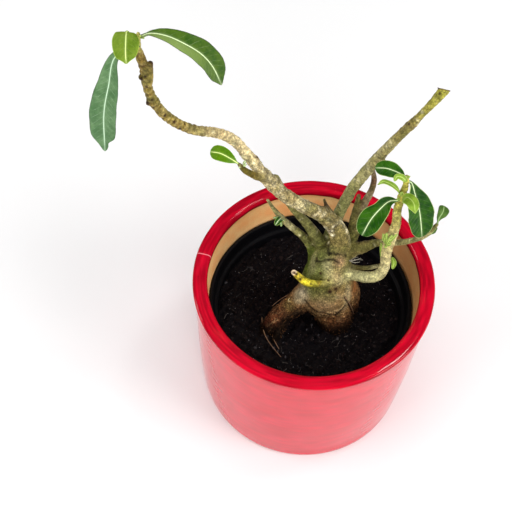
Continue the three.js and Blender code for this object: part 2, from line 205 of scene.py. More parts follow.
def directions(points):
    """The way along a line at each point, and two directions across it that twist as little as they can."""
    along = unit(np.gradient(points, axis=0))
    side = np.cross([0.0, 0.0, 1.0], along[0])
    if np.linalg.norm(side) < 0.2:
        side = np.cross([1.0, 0.0, 0.0], along[0])
    sides = []
    for way in along:
        side = unit(side - side.dot(way) * way)
        sides.append(side)
    sides = np.array(sides)
    return along, sides, np.cross(along, sides)


def loft(rings):
    """Points and faces of a closed body through rings of points, with a fan over each end."""
    count, sides = rings.shape[:2]
    index = np.arange(count * sides).reshape(count, sides)
    here, beyond = index[:-1], index[1:]
    quads = np.stack([here, np.roll(here, -1, 1), np.roll(beyond, -1, 1), beyond], -1).reshape(-1, 4)
    points = np.vstack([rings.reshape(-1, 3), rings[0].mean(0), rings[-1].mean(0)])
    first, last = count * sides, count * sides + 1
    fan = [(first, b, a) for a, b in zip(index[0], np.roll(index[0], -1))]
    fan += [(last, a, b) for a, b in zip(index[-1], np.roll(index[-1], -1))]
    return points, quads.tolist() + [tuple(int(i) for i in face) for face in fan]


def tube(points, radii, sides):
    """A closed round tube along points."""
    _, across, up = directions(points)
    angles = spots_round(sides)
    circle = np.cos(angles)[:, None] * across[:, None] + np.sin(angles)[:, None] * up[:, None]
    return loft(points[:, None] + np.broadcast_to(radii, len(points))[:, None, None] * circle)


def turned(outline, segments):
    """A round body from an outline of radius and height, which starts and ends on the axis."""
    radius, height = outline[1:-1].T[:, :, None]
    angles = spots_round(segments)
    return loft(np.stack([radius * np.cos(angles), radius * np.sin(angles), height + 0 * angles], -1))


def joined(bodies):
    """Several bodies as one list of points and one of faces."""
    points, faces, first = [], [], 0
    for body_points, body_faces in bodies:
        points.append(body_points)
        faces.extend([tuple(i + first for i in face) for face in body_faces])
        first += len(body_points)
    return np.vstack(points), faces


def new_mesh(name, points, faces):
    mesh = bpy.data.meshes.new(name)
    mesh.from_pydata((np.asarray(points) * MM).tolist(), [], faces)
    mesh.update()
    thing = bpy.data.objects.new(name, mesh)
    bpy.context.scene.collection.objects.link(thing)
    return thing


def piece(name, body, material, slot, nodes=(), smooth=True, **values):
    """A finished piece of the part, with numbers or colours given for each of its points."""
    thing = new_mesh(name, *body)
    mesh = thing.data
    mesh.polygons.foreach_set("use_smooth", [smooth] * len(mesh.polygons))
    for key, data in values.items():
        data = np.asarray(data, np.float32)
        if data.ndim == 1:
            mesh.attributes.new(key, "FLOAT", "POINT").data.foreach_set("value", data)
        else:
            rgba = np.column_stack([data, np.ones(len(data), np.float32)])
            mesh.attributes.new(key, "FLOAT_COLOR", "POINT").data.foreach_set("color", rgba.ravel())
    mesh.materials.append(material)
    if nodes:
        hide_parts(*nodes)
    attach(thing, "root")


class Strewn:
    """Many small bodies, each in its own colour, which end up as one piece."""

    def __init__(self):
        self.bodies = []
        self.tints = []

    def add(self, body, colour, strength):
        self.bodies.append(body)
        self.tints.append(np.tile(np.array(colour) * strength, (len(body[0]), 1)))

    def finish(self, name, slot, smooth=True):
        piece(name, joined(self.bodies), crumb_material(), slot, smooth=smooth, tint=np.vstack(self.tints))


# Materials

class Graph:
    """The nodes of one material. Each method adds a node, links what it is given and returns its output."""

    def __init__(self, name):
        self.material = bpy.data.materials.new(name)
        self.material.use_nodes = True
        self.tree = self.material.node_tree
        self.shader = self.tree.nodes["Principled BSDF"]
        self.place = self.add("ShaderNodeTexCoord", {}, "Object")

    def set(self, socket, value):
        if isinstance(value, bpy.types.NodeSocket):
            self.tree.links.new(value, socket)
        elif isinstance(value, tuple) and socket.type == "RGBA":
            socket.default_value = (*value, 1)
        else:
            socket.default_value = value

    def add(self, kind, inputs, output=0, **settings):
        node = self.tree.nodes.new(kind)
        for key, value in settings.items():
            setattr(node, key, value)
        for key, value in inputs.items():
            self.set(node.inputs[key], value)
        return node.outputs[output]

    def value(self, name, output="Fac"):
        """What a piece gives for each of its points under that name."""
        return self.add("ShaderNodeAttribute", {}, output, attribute_name=name)

    def noise(self, size, detail=2.0, roughness=0.5, stretch=None):
        """Noise with lumps about that many millimetres across, stretched along each axis if asked."""
        place = self.place
        if stretch:
            place = self.add("ShaderNodeMapping", {"Vector": place, "Scale": stretch})
        inputs = {"Vector": place, "Scale": 1 / (size * MM), "Detail": detail, "Roughness": roughness}
        return self.add("ShaderNodeTexNoise", inputs)

    def cells(self, size):
        """The distance to the nearest of scattered points about that many millimetres apart."""
        return self.add("ShaderNodeTexVoronoi", {"Vector": self.place, "Scale": 1 / (size * MM)})

    def math(self, operation, a, b=0.0):
        return self.add("ShaderNodeMath", {0: a, 1: b}, operation=operation)

    def times(self, a, b):
        return self.math("MULTIPLY", a, b)

    def ramp(self, value, low, high, start=0.0, end=1.0):
        """Goes smoothly from start to end while the value goes from low to high."""
        inputs = {"Value": value, "From Min": low, "From Max": high, "To Min": start, "To Max": end}
        return self.add("ShaderNodeMapRange", inputs, interpolation_type="SMOOTHSTEP")

    def mix(self, share, a, b, how="MIX"):
        return self.add("ShaderNodeMix", {0: share, 6: a, 7: b}, 2, data_type="RGBA", blend_type=how)

    def tinted(self, colour, by):
        """A colour multiplied by a number or by another colour."""
        return self.mix(1.0, colour, by, "MULTIPLY")

    def bump(self, height, depth, normal=None):
        """A relief up to depth millimetres high."""
        inputs = {"Height": height, "Distance": depth * MM, "Strength": 1.0}
        if normal:
            inputs["Normal"] = normal
        return self.add("ShaderNodeBump", inputs)

    def finish(self, **inputs):
        """Sets the shader's inputs by name, with spaces written as _, and returns the material."""
        for key, value in inputs.items():
            self.set(self.shader.inputs[key.replace("_", " ")], value)
        return self.material


def glaze_material():
    """Red glaze over terracotta, which stays bare where the attribute says so."""
    g = Graph("red_glaze")
    bare = g.value("bare")
    drift = g.ramp(g.noise(16, 3), 0.35, 0.7)
    lip = g.mix(drift, srgb(190, 5, 34), srgb(200, 8, 40))
    red = g.mix(g.value("wall"), lip, g.mix(drift, srgb(202, 6, 35), srgb(212, 10, 43)))
    red = g.tinted(red, g.ramp(g.value("streak"), -0.8, 0.8, 0.66, 1.14))
    # Darker red where the glaze runs thin at its inner edge, and painted shade in the groove under the lip
    red = g.mix(g.ramp(g.value("thin"), 0, 1, 0, 0.7), red, srgb(96, 6, 16))
    seam = g.ramp(g.math("ABSOLUTE", g.value("seam")), 0.12, 0.42, 0.75, 0)
    red = g.mix(seam, red, srgb(250, 150, 160))
    clay = g.mix(g.ramp(g.noise(9, 4), 0.3, 0.7), srgb(255, 208, 142), srgb(255, 184, 116))
    grit = g.noise(0.7, 3, 0.7)
    clay = g.mix(g.ramp(grit, 0.35, 0.6, 0.2, 0), clay, srgb(206, 130, 76))
    # Painted shade: the bare clay inside darkens towards the right
    clay = g.mix(g.ramp(g.value("damp"), 0, 1, 0, 0.5), clay, srgb(150, 90, 48))
    throwing = g.noise(1, 2, 0.5, stretch=(0.02, 0.02, 0.55))
    pits = g.ramp(g.cells(5.5), 0.03, 0.075, 1, 0)
    relief = g.mix(bare, g.math("ADD", g.noise(7, 2), g.times(pits, 0.5)), grit)
    return g.finish(
        Base_Color=g.mix(bare, red, clay),
        Roughness=g.ramp(bare, 0, 1, 0.09, 0.85),
        IOR=1.52,
        Normal=g.bump(throwing, 0.04, g.bump(relief, 0.05)),
    )


def plastic_material():
    g = Graph("black_plastic")
    dust = g.ramp(g.noise(5, 5, 0.65), 0.5, 0.8, 0, 0.35)
    return g.finish(
        Base_Color=g.mix(dust, (0.0035, 0.0035, 0.0045), (0.012, 0.012, 0.014)),
        Roughness=g.ramp(g.noise(12, 3), 0.3, 0.7, 0.42, 0.55),
        Specular_IOR_Level=0.14,
        Normal=g.bump(g.noise(0.6, 2), 0.02),
    )


def ground_material():
    g = Graph("ground")
    lumps = g.ramp(g.noise(2.2, 5, 0.7), 0.42, 0.7)
    return g.finish(
        Base_Color=g.mix(lumps, (0.0024, 0.0018, 0.003), (0.010, 0.0075, 0.0075)),
        Roughness=0.9,
        Specular_IOR_Level=0.25,
        Normal=g.bump(g.noise(0.8, 4, 0.7), 0.4),
    )


def crumb_material():
    """Peat crumbs and fibres, each with its own tint."""
    g = Graph("crumbs")
    grain = g.ramp(g.noise(0.5, 3, 0.7), 0.3, 0.7, 0.55, 1.25)
    return g.finish(
        Base_Color=g.tinted(g.value("tint", "Color"), grain),
        Roughness=0.85,
        Specular_IOR_Level=0.3,
        Normal=g.bump(g.noise(0.35, 2), 0.08),
    )


def bark_material():
    """Living bark: the tint of each place, mottled, with fine cracks and pores."""
    g = Graph("bark")
    rough = g.value("rough")
    tint = g.tinted(g.value("tint", "Color"), g.ramp(g.noise(3.0, 4, 0.7), 0.34, 0.68, 0.5, 1.26))
    pores = g.ramp(g.noise(0.9, 3, 0.75), 0.36, 0.56, 0.26, 1.3)
    tint = g.mix(g.ramp(rough, 0, 1, 0.45, 1.0), tint, g.tinted(tint, pores))
    flecks = g.times(g.ramp(g.noise(0.9, 2, 0.6), 0.55, 0.65), g.value("fleck"))
    tint = g.mix(flecks, tint, g.tinted(tint, (2.4, 2.3, 2.2)))
    return g.finish(
        Base_Color=tint,
        Roughness=g.ramp(rough, 0, 1, 0.55, 0.9),
        Specular_IOR_Level=0.2,
        Normal=g.bump(g.math("ADD", g.noise(0.8, 3, 0.7), g.times(g.noise(1.8, 3), 1.5)), 0.5),
    )


def leaf_material(name, blade, shade, rib, margin, vein_share, rib_width):
    """A leathery blade with a pale midrib and margin and fine side veins, darker in shade's patches."""
    g = Graph(name)
    off_rib = g.value("rib")
    edge = g.value("edge")
    colour = g.mix(g.ramp(g.noise(5.5, 3, 0.6), 0.32, 0.68), blade, shade)
    colour = g.tinted(colour, g.ramp(g.noise(0.9, 3, 0.7), 0.3, 0.7, 0.88, 1.12))
    slanted = g.math("SUBTRACT", g.value("run"), g.times(off_rib, VEIN_SLANT))
    phase = g.math("ADD", slanted, g.times(g.noise(6, 2), 2.4))
    wave = g.math("PINGPONG", g.math("DIVIDE", phase, VEIN_SPACING), 0.5)
    vein = g.times(g.ramp(wave, 0.0, 0.06, 1, 0), g.ramp(g.noise(2.2, 2), 0.35, 0.65, 0.25, 1))
    vein = g.times(vein, g.ramp(edge, 0.2, 2.2, 0, 1))
    colour = g.mix(g.times(vein, vein_share), colour, rib)
    colour = g.mix(g.ramp(off_rib, rib_width, rib_width * 5, 0.1, 0), colour, rib)
    stripe = g.times(g.ramp(off_rib, rib_width * 0.75, rib_width * 1.25, 1, 0), g.value("stripe"))
    colour = g.mix(stripe, colour, rib)
    # Painted light: one half of a blade is lightened where the pale attribute says so
    colour = g.mix(g.times(g.value("pale"), 0.6), colour, srgb(148, 170, 96))
    colour = g.mix(g.ramp(edge, 0.08, 0.34, 0.85, 0), colour, margin)
    colour = g.mix(g.times(g.value("under"), 0.45), colour, g.mix(0.5, blade, srgb(190, 205, 150)))
    return g.finish(
        Base_Color=colour,
        Roughness=g.ramp(g.noise(3, 3), 0.3, 0.7, 0.33, 0.46),
        Specular_IOR_Level=0.2,
        Normal=g.bump(g.math("SUBTRACT", g.noise(1.6, 3), g.times(vein, 0.7)), 0.16),
    )


def floor_material():
    g = Graph("floor")
    return g.finish(
        Base_Color=g.mix(g.ramp(g.noise(300, 1), 0.3, 0.7), (0.90, 0.90, 0.90), (0.91, 0.91, 0.91)),
        Roughness=0.8,
        Specular_IOR_Level=0.2,
    )


# The red pot

def arc(radius, height, size, start, end, steps):
    angles = np.radians(np.linspace(start, end, steps + 1))
    return np.column_stack([radius + size * np.cos(angles), height + size * np.sin(angles)])


def curve(points, spacing):
    """A curved stretch of an outline through a few points of radius and height."""
    flat = np.column_stack([np.asarray(points, float), np.zeros(len(points))])
    return spline(flat, spacing)[:, :2]


def straight(start, end, steps):
    return np.linspace(start, end, steps + 1)


def polar(points):
    """The azimuth and the radius of each point."""
    return np.arctan2(points[:, 1], points[:, 0]), np.hypot(points[:, 0], points[:, 1])


def red_pot_outline():
    """A round heel, a plain wall, a groove below the rolled lip, and bare clay inside."""
    outline = np.vstack([
        straight((0, 0), (57, 0), 5),
        arc(60.1, 3.5, 3.5, -86, -2, 10),
        curve([(63.65, 4.6), (64.6, 22), (65.6, 45), (66.1, 66), (66.5, 88), (66.6, 104.2)], 2.2),
        curve([
            (66.55, 104.6), (66.4, 105.3), (66.25, 105.9), (66.55, 106.5), (67.4, 107.0), (67.95, 107.8),
            (67.95, 108.7), (67.35, 109.45), (66.2, 109.85), (64.4, 110.0), (62.4, 109.98), (61.0, 109.8),
            (60.15, 109.2), (59.7, 108.3), (59.6, 106.8), (59.75, 104.5), (60.0, 102.5),
        ], LIP_STEP),
        curve([(60.0, 102), (59.5, 92), (59.0, 84)], 1.2),
        straight((58.9, 82), (57.0, 17), 8),
        curve([(56.9, 15.5), (55.5, 11), (52, 8.4), (48, 8)], 1.5),
        straight((44, 8), (0, 8), 3),
    ])
    steps = np.linalg.norm(np.diff(outline, axis=0), axis=1)
    return outline[np.concatenate([[True], steps > 0.05])]


def red_pot():
    """Thrown earthenware, a little uneven and leaning, with streaks, a seam, and painted shade on the bare
    clay inside towards the right.
    """
    outline = red_pot_outline()
    points, faces = turned(outline, POT_SEGMENTS)
    azimuth, radius = polar(points)
    height = points[:, 2].copy()
    rows = np.repeat(np.arange(len(outline) - 2), POT_SEGMENTS)
    outside = np.append(rows < OUTSIDE_SHARE * len(outline), [False, False])
    inside = (radius < INSIDE_RADIUS) & (height > INSIDE_HEIGHT)

    swell = 0.22 * np.sin(2 * azimuth + 0.6) + 0.12 * np.sin(3 * azimuth + 2.1)
    swell += 0.05 * np.sin(height * 1.05 + 0.6 * np.sin(azimuth)) * (height < 100)
    swell += 0.10 * noise(points, 14, 3) + 0.05 * noise(points, 5, 4)
    points[:, :2] *= (1 + (swell / np.maximum(radius, 20)) * ramp(height, 3, 12))[:, None]
    level = 0.18 * np.sin(2 * azimuth + 1.0) - 0.18 + 0.08 * noise(points, 9, 5)
    points[:, 2] += ramp(height, 60, 108) * level
    points[:, :2] += POT_LEAN * height[:, None] / POT_HEIGHT

    ring = np.column_stack([np.cos(azimuth), np.sin(azimuth), np.zeros(len(azimuth))])
    edge = GLAZE_EDGE + 0.9 * noise(ring, 0.35, 6) + 0.4 * noise(ring, 0.09, 7)
    bare = np.where(inside, ramp(edge - height, -0.2, 0.3), 0)
    bare = np.where(height < 0.3, ramp(BARE_FOOT - radius, -1, 1), bare)
    bare = np.where((height < 30) & (radius < BARE_FOOT - 0.5), 1, bare)
    # Painted shade darkens the groove under the lip; inside, the glaze runs thin at its edge
    thin = ramp(np.abs(height - GROOVE_HEIGHT), 0.9, 0.1) * outside
    thin = np.maximum(thin, inside * ramp(edge + 1.6 - height, -0.6, 0.6) * 0.8)
    streak = noise(np.column_stack([azimuth * WALL_RADIUS, radius, height]), STREAK_SIZE, 8)
    x, y = points[:, 0], points[:, 1]
    cosine, sine = math.cos(SEAM_AZIMUTH), math.sin(SEAM_AZIMUTH)
    near = (x * cosine + y * sine > 0) & (height > GROOVE_HEIGHT)
    piece(
        "red_glazed_pot", (points, faces), glaze_material(), "glaze", ["glazed_pot"],
        bare=bare, thin=thin,
        # Painted shade on the clay inside, growing towards the right
        damp=ramp(x + 4 * noise(points, 12, 9), 18, 54),
        seam=np.where(near, y * cosine - x * sine, 50),
        streak=streak * np.where(height > GROOVE_HEIGHT - 0.5, 1.0, 0.3),
        wall=outside * ramp(height, WALL_TOP, WALL_TOP - 1),
    )


# The nursery pot

def nursery_pot():
    """A thin moulded pot with a rolled lip, a stepped band below it and drain holes in its base."""
    base = 8.3
    outline = np.vstack([
        straight((0, base + 1.2), (35, base + 1.2), 3),
        curve([(36, base + 0.8), (37, base), (42, base), (43, base + 1.5)], 1.2),
        straight((43.2, base + 3), (54.85, 75.2), 8),
        curve([(55, 76), (55.6, 76.9), (57.1, 77.5), (57.3, 78.6)], 0.5),
        curve([
            (57.4, 79.5), (57.6, 84), (57.9, 84.8), (58.6, 85.1), (58.75, 85.9), (58.4, 86.7), (57.6, 87),
            (56.8, 86.75), (56.35, 86.1),
        ], 0.45),
        curve([
            (56.2, 85.4), (56.1, 82), (55.9, 79.4), (55.5, 78.4), (54.4, 77.8), (53.7, 77.2), (53.5, 75.8),
        ], 0.5),
        straight((53.4, 74), (41.8, base + 4), 6),
        curve([(41.3, base + 3.3), (40, base + 3), (38, base + 3)], 1),
        straight((34, base + 3), (0, base + 3), 3),
    ])
    points, faces = turned(outline, NURSERY_SEGMENTS)
    azimuth, _ = polar(points)
    points[:, :2] *= (1 + 0.0012 * np.sin(2 * azimuth + 0.4) * ramp(points[:, 2], 40, 80))[:, None]
    points[:, :2] += NURSERY_SHIFT * ramp(points[:, 2], 20, 80)[:, None]
    pot = new_mesh("nursery_blank", points, faces)
    drills = []
    for angle in spots_round(DRAIN_HOLES):
        foot = DRAIN_CIRCLE * np.array([math.cos(angle), math.sin(angle), 0])
        drills.append(tube(foot + np.array([[0, 0, 2.0], [0, 0, 9.0], [0, 0, 18.0]]), DRAIN_RADIUS, 32))
    drill = new_mesh("drill", *joined(drills))
    cut = pot.modifiers.new("holes", "BOOLEAN")
    cut.operation = "DIFFERENCE"
    cut.solver = "EXACT"
    cut.object = drill
    body = finished(pot)
    bpy.data.objects.remove(drill)
    piece("black_nursery_pot", body, plastic_material(), "black_plastic", ["nursery_pot"])


def finished(blank):
    """Points in millimetres and faces of a blank with its modifiers applied; the blank goes."""
    graph = bpy.context.evaluated_depsgraph_get()
    mesh = bpy.data.meshes.new_from_object(blank.evaluated_get(graph), depsgraph=graph)
    points = np.empty(len(mesh.vertices) * 3)
    mesh.vertices.foreach_get("co", points)
    faces = [tuple(face.vertices) for face in mesh.polygons]
    bpy.data.objects.remove(blank)
    return points.reshape(-1, 3) / MM, faces


# The soil

def soil_height(x, y):
    """Height of the soil surface, sunk a little at its edge and heaped round the roots."""
    lumps = (
        np.sin(x * 0.55 + y * 0.21) * np.cos(y * 0.62 - x * 0.17)
        + 0.6 * np.sin(x * 1.13 - y * 0.9 + 2)
        + 0.4 * np.cos(y * 1.31 + x * 0.77)
    )
    heap = 2.2 * np.exp(-((x - 4) ** 2 + (y + 4) ** 2) / 700)
    flat = np.column_stack([x, y, np.zeros(len(x))])
    fine = 0.55 * noise(flat, 3.4, 11) + 0.4 * noise(flat, 1.6, 12)
    radius = np.hypot(x, y)
    return SOIL_TOP + heap + SOIL_RELIEF * lumps + fine - 2.5 * np.minimum(radius / SOIL_EDGE, 1) ** 6


def soil_block():
    angles = spots_round(SOIL_SECTORS)

    def ring(radius, height=None):
        x, y = radius * np.cos(angles), radius * np.sin(angles)
        return np.column_stack([x, y, soil_height(x, y) if height is None else np.full(len(x), height)])

    radii = SOIL_EDGE * (1 - np.linspace(0, 1, SOIL_RINGS) ** 1.15 * 0.995)
    rings = [ring(40.5, 11.8), ring(41.4, 12.8), ring(47.5, 43), ring(53.2, 71.5)]
    rings += [ring(radius) for radius in radii]
    piece("potting_soil", loft(np.array(rings)), ground_material(), "soil", ["soil"])


def lump_shape():
    """The points and faces of a small twenty-sided lump of unit size."""
    golden = (1 + math.sqrt(5)) / 2
    corners = unit(np.array([
        (-1, golden, 0), (1, golden, 0), (-1, -golden, 0), (1, -golden, 0),
        (0, -1, golden), (0, 1, golden), (0, -1, -golden), (0, 1, -golden),
        (golden, 0, -1), (golden, 0, 1), (-golden, 0, -1), (-golden, 0, 1),
    ]))
    faces = [
        (0, 11, 5), (0, 5, 1), (0, 1, 7), (0, 7, 10), (0, 10, 11), (1, 5, 9), (5, 11, 4), (11, 10, 2),
        (10, 7, 6), (7, 1, 8), (3, 9, 4), (3, 4, 2), (3, 2, 6), (3, 6, 8), (3, 8, 9), (4, 9, 5),
        (2, 4, 11), (6, 2, 10), (8, 6, 7), (9, 8, 1),
    ]
    return corners, faces


def soil_spot(random, margin):
    """A random place on the soil, that far inside its edge."""
    away = (SOIL_EDGE - margin) * math.sqrt(random.random())
    angle = TURN * random.random()
    return np.array([away * math.cos(angle), away * math.sin(angle)])


def soil_crumbs():
    """Loose crumbs, pale grains and fibres that lie on the soil."""
    random = np.random.default_rng(41)
    corners, lump_faces = lump_shape()
    strewn = Strewn()
    black, brown = np.array(srgb(12, 9, 14)), np.array(srgb(42, 32, 32))
    for number in range(CRUMBS + PALE_CRUMBS):
        pale = number >= CRUMBS
        spot = soil_spot(random, 1.2)
        size = random.uniform(0.12, 0.28) if pale else 0.24 + 0.7 * random.random() ** 3
        shape = corners * (1 + random.uniform(-0.3, 0.3, (12, 1))) * size
        shape = shape * random.uniform(0.6, 1.35, 3)
        height = soil_height(*spot[:, None])[0] + size * 0.12
        draw = random.random()
        colour, strength = black * (1 - draw) + brown * draw ** 2, 1
        if random.random() < 0.05:
            colour, strength = srgb(96, 92, 96), random.uniform(0.15, 0.7)
        if pale:
            colour, strength = srgb(190, 186, 190), random.uniform(0.1, 0.8)
        strewn.add((shape + np.append(spot, height), lump_faces), colour, strength)
    for _ in range(FIBRES):
        line = [soil_spot(random, 5)]
        heading = TURN * random.random()
        length = random.uniform(1, 4.5)
        bend = random.uniform(-1.1, 1.1)
        for step in range(5):
            way = heading + bend * step / 5
            line.append(line[-1] + length / 5 * np.array([math.cos(way), math.sin(way)]))
        line = np.array(line)
        heights = soil_height(line[:, 0], line[:, 1]) + random.uniform(0.1, 0.9)
        body = tube(np.column_stack([line, heights]), random.uniform(0.05, 0.12), 3)
        strewn.add(body, srgb(150, 142, 136), random.uniform(0.1, 0.85) ** 2)
    strewn.finish("soil_crumbs", "soil", smooth=False)


# The plant: stems and roots as lists of x, y, z and radius from where each starts to its tip

STEMS = {
    "caudex": [
        (12, 10, 124, 7.5), (10, 6.5, 118, 10.8), (9, 4, 112, 12.6), (9, 2, 106, 14.6), (9, 0, 100, 15.8),
        (10, -1, 94, 14.6), (11, -3, 88, 11),
    ],
    "root_front": [
        (10.5, -1, 97, 12), (13, -4.5, 87, 11), (15, -7.5, 77, 10.3), (15.5, -9, 66, 7),
        (16, -10.5, 54, 3.5),
    ],
    "root_left": [
        (4, -3, 100, 10), (-3.5, -5.5, 98, 7.8), (-9, -8, 93, 6.6), (-15, -10, 87.5, 5.7),
        (-20.5, -13, 82, 5.2), (-24, -15, 75, 4.5), (-26, -18, 62, 2.4),
    ],
    "root_toe": [(-13, -10, 87, 4), (-16, -16, 81, 3), (-19, -21.5, 75, 2.4), (-20, -26, 64, 1.4)],
    "root_side": [
        (17, 2, 100, 9), (22, 1, 92, 6.6), (23, 0, 84, 5.6), (24, -1, 74, 4.6), (27, -2, 60, 2.4),
    ],
    "root_back": [(10, 4, 97, 9.5), (13, 13, 87, 7), (16, 20, 77, 5.2), (18, 25, 62, 2.6)],
    "leaning": [
        (16, 10, 112, 5.1), (15.5, 11.5, 123, 5.7), (14, 12.5, 132, 5.6), (11, 14, 141, 5.1),
        (3, 13.5, 153.5, 4.2), (-7, 12.5, 162.5, 3.6), (-18, 12, 173, 3.6), (-28.5, 14.5, 185, 3.2),
        (-38, 18, 199, 2.8), (-45.5, 20, 208, 2.7), (-53.5, 19.5, 213, 2.5), (-64, 17, 218, 2.4),
        (-73.5, 16, 226, 2.4), (-80.3, 16, 237, 2.3), (-83.3, 17, 248.5, 2.2), (-83.4, 18.5, 256, 2.3),
        (-85.3, 20.5, 262.5, 2.1), (-86, 22.5, 267.5, 1.1), (-85.8, 24, 274, 0.9),
    ],
    "cut": [
        (10.5, 16, 112, 5.7), (9.5, 19.5, 124, 4.1), (11, 21, 137, 3.4), (13.5, 22, 149, 3.1),
        (17.5, 25, 161, 3.1), (24, 27.5, 175, 3), (31.5, 27, 194, 2.7), (38.5, 25.7, 211, 2.3),
        (42, 25.5, 218, 2.35), (43.7, 26, 221, 1.95), (48.2, 27.2, 228.5, 2), (51.5, 28, 235, 2.4),
        (54.5, 29, 241.5, 2.7),
    ],
    "middle": [
        (5.5, 12, 111, 6.2), (4, 15, 121, 3.7), (0.5, 17, 128.5, 3.4), (-4, 19.5, 135, 2.7),
        (-10, 22, 142.5, 2.5), (-17.5, 25, 155, 2.4), (-23, 27, 167, 2.2),
    ],
    "left": [
        (2.5, 12, 111, 4.5), (-1, 15, 119, 2.7), (-5, 17.5, 124.5, 2.3), (-12.5, 19.5, 132, 1.9),
        (-19, 21.5, 138.5, 1.7), (-23.5, 22.5, 146, 1), (-26.5, 24, 151, 0.8),
    ],
    "curled": [
        (9.5, 3.5, 116, 6.5), (17.5, 0, 117, 3.6), (24.5, -2, 118, 3), (31, -3.5, 119.5, 3.2),
        (36.2, -3, 122, 3), (38.3, -1, 127, 2.8), (38.3, 1.5, 133, 2.8), (38.7, 4, 139, 2.9),
        (40.5, 7.5, 147, 2.7), (41.5, 9.5, 156, 2.4), (41, 12, 162.5, 2.2), (42, 14, 171.5, 2.1),
        (43, 15.5, 179, 1.6), (42.5, 15.5, 187, 1.3),
    ],
    "right": [
        (14, 12, 116, 5.6), (22.5, 13, 121, 3.8), (28, 13.5, 123.5, 3.2), (34, 14, 127, 2.1),
        (40.5, 12.5, 130.5, 1.8), (47, 10.5, 134, 1.6), (53, 9.5, 138.5, 1.5), (59.5, 9.5, 144.5, 1.4),
        (63.5, 11.5, 151, 1),
    ],
    "low": [
        (16, 8, 109, 3.4), (23, 8, 110.5, 1.5), (29.5, 7, 111.5, 1.3), (36, 7.5, 113, 1.2),
        (42.5, 8.5, 116, 0.9),
    ],
    "thin": [
        (16, 15, 114, 5), (22, 19.5, 125, 2.8), (24, 23.5, 136, 2.3), (25.5, 26, 145, 2.1),
        (29, 29, 157, 1.7), (29.5, 31, 163.5, 1.5), (28.5, 32.5, 168, 1.2),
    ],
    "stub": [
        (15, 15, 114, 4.5), (20, 19.5, 124.5, 2.3), (21, 23.5, 136, 2), (22, 26.5, 143.5, 1.6),
        (22.5, 28.5, 151, 1.2),
    ],
    "yellow": [
        (14, 2, 113, 4), (11, -4.5, 117, 2.2), (6.5, -8, 118.5, 2), (1, -9, 119.5, 2.2),
        (-4, -8.5, 120.5, 2.2), (-7, -6.7, 121.2, 2), (-9.3, -4.9, 122, 1.8), (-11, -3.9, 122.8, 1.45),
    ],
    "twig": [(8, 16, 149, 1.5), (5.5, 17.5, 155, 1), (4, 17, 159, 0.8), (3, 17, 163, 0.6)],
    "sprig": [
        (-29.5, 13.5, 187, 2.3), (-32, 11, 189.5, 1.9), (-35.5, 9.5, 194, 1.7), (-38.5, 8.5, 198, 1.5),
        (-41.3, 8.5, 202.6, 1),
    ],
    "knob_tip_right": [(-82.3, 17.5, 252, 1.5), (-81.6, 18, 257, 1.4), (-81, 18.3, 261.5, 1.3)],
    "knob_tip_left": [(-83, 18, 253.5, 1.2), (-85.9, 16.8, 254, 0.8)],
    "knob_low_left": [(-80, 16, 239, 1.2), (-83.5, 14.5, 239, 0.8)],
    "knob_middle": [(-35, 17, 194, 1.4), (-33.2, 17.6, 195.8, 0.8)],
    "knob_cut": [(28.5, 27, 187, 1.2), (32, 25.5, 186, 0.8)],
}

# The clean slanting cut that ends the cut branch
CUT_PLACE = np.array([53.3, 28.6, 238.8])
CUT_WAY = unit(np.array([0.2, 0.76, 0.62]))

# Bark colours from where each stem starts to its tip
OLIVE, TAN, GOLD = (142, 130, 78), (184, 164, 112), (172, 150, 72)
MOSS, SAGE, LIME = (100, 104, 48), (158, 152, 98), (176, 174, 58)
EARTH, UMBER = (132, 104, 66), (56, 34, 22)
YELLOW, CREAM = (228, 208, 50), (222, 212, 164)
# The last colour is near-black painted shade, for the roots' undersides, the hollows between them and the
# creases
SLATE, PAINTED_SHADE = (150, 140, 122), (20, 13, 10)
BARK = {
    "caudex": [(116, 112, 60), (112, 106, 58), EARTH, EARTH],
    "root": [EARTH, (100, 68, 40), (84, 50, 32), UMBER, UMBER],
    "leaning": [
        (122, 110, 64), (122, 110, 64), (148, 132, 88), (162, 145, 98), (240, 218, 166), (154, 133, 66),
        (142, 124, 52), (156, 128, 66),
    ],
    "cut": [MOSS, (118, 122, 72), SAGE, (142, 134, 76), (136, 122, 66), LIME],
    "middle": [MOSS, (118, 116, 66), (124, 120, 70), OLIVE],
    "left": [MOSS, (122, 118, 66), (146, 140, 88), SAGE],
    "curled": [TAN, (178, 174, 124), (194, 182, 130), (206, 192, 124), (216, 206, 96), (216, 206, 84)],
    "right": [OLIVE, (124, 112, 64), SAGE, (136, 132, 74)],
    "low": [OLIVE, (118, 112, 66), SAGE],
    "thin": [MOSS, (116, 110, 62), (126, 98, 68), (116, 84, 62)],
    "stub": [MOSS, (118, 112, 60), OLIVE],
    "yellow": [OLIVE, (170, 156, 76), (206, 190, 62), YELLOW, (226, 192, 64)],
    "twig": [OLIVE, UMBER, UMBER],
    "sprig": [OLIVE, (112, 94, 32), (98, 90, 24)],
    "knob": [GOLD, (92, 64, 40)],
}

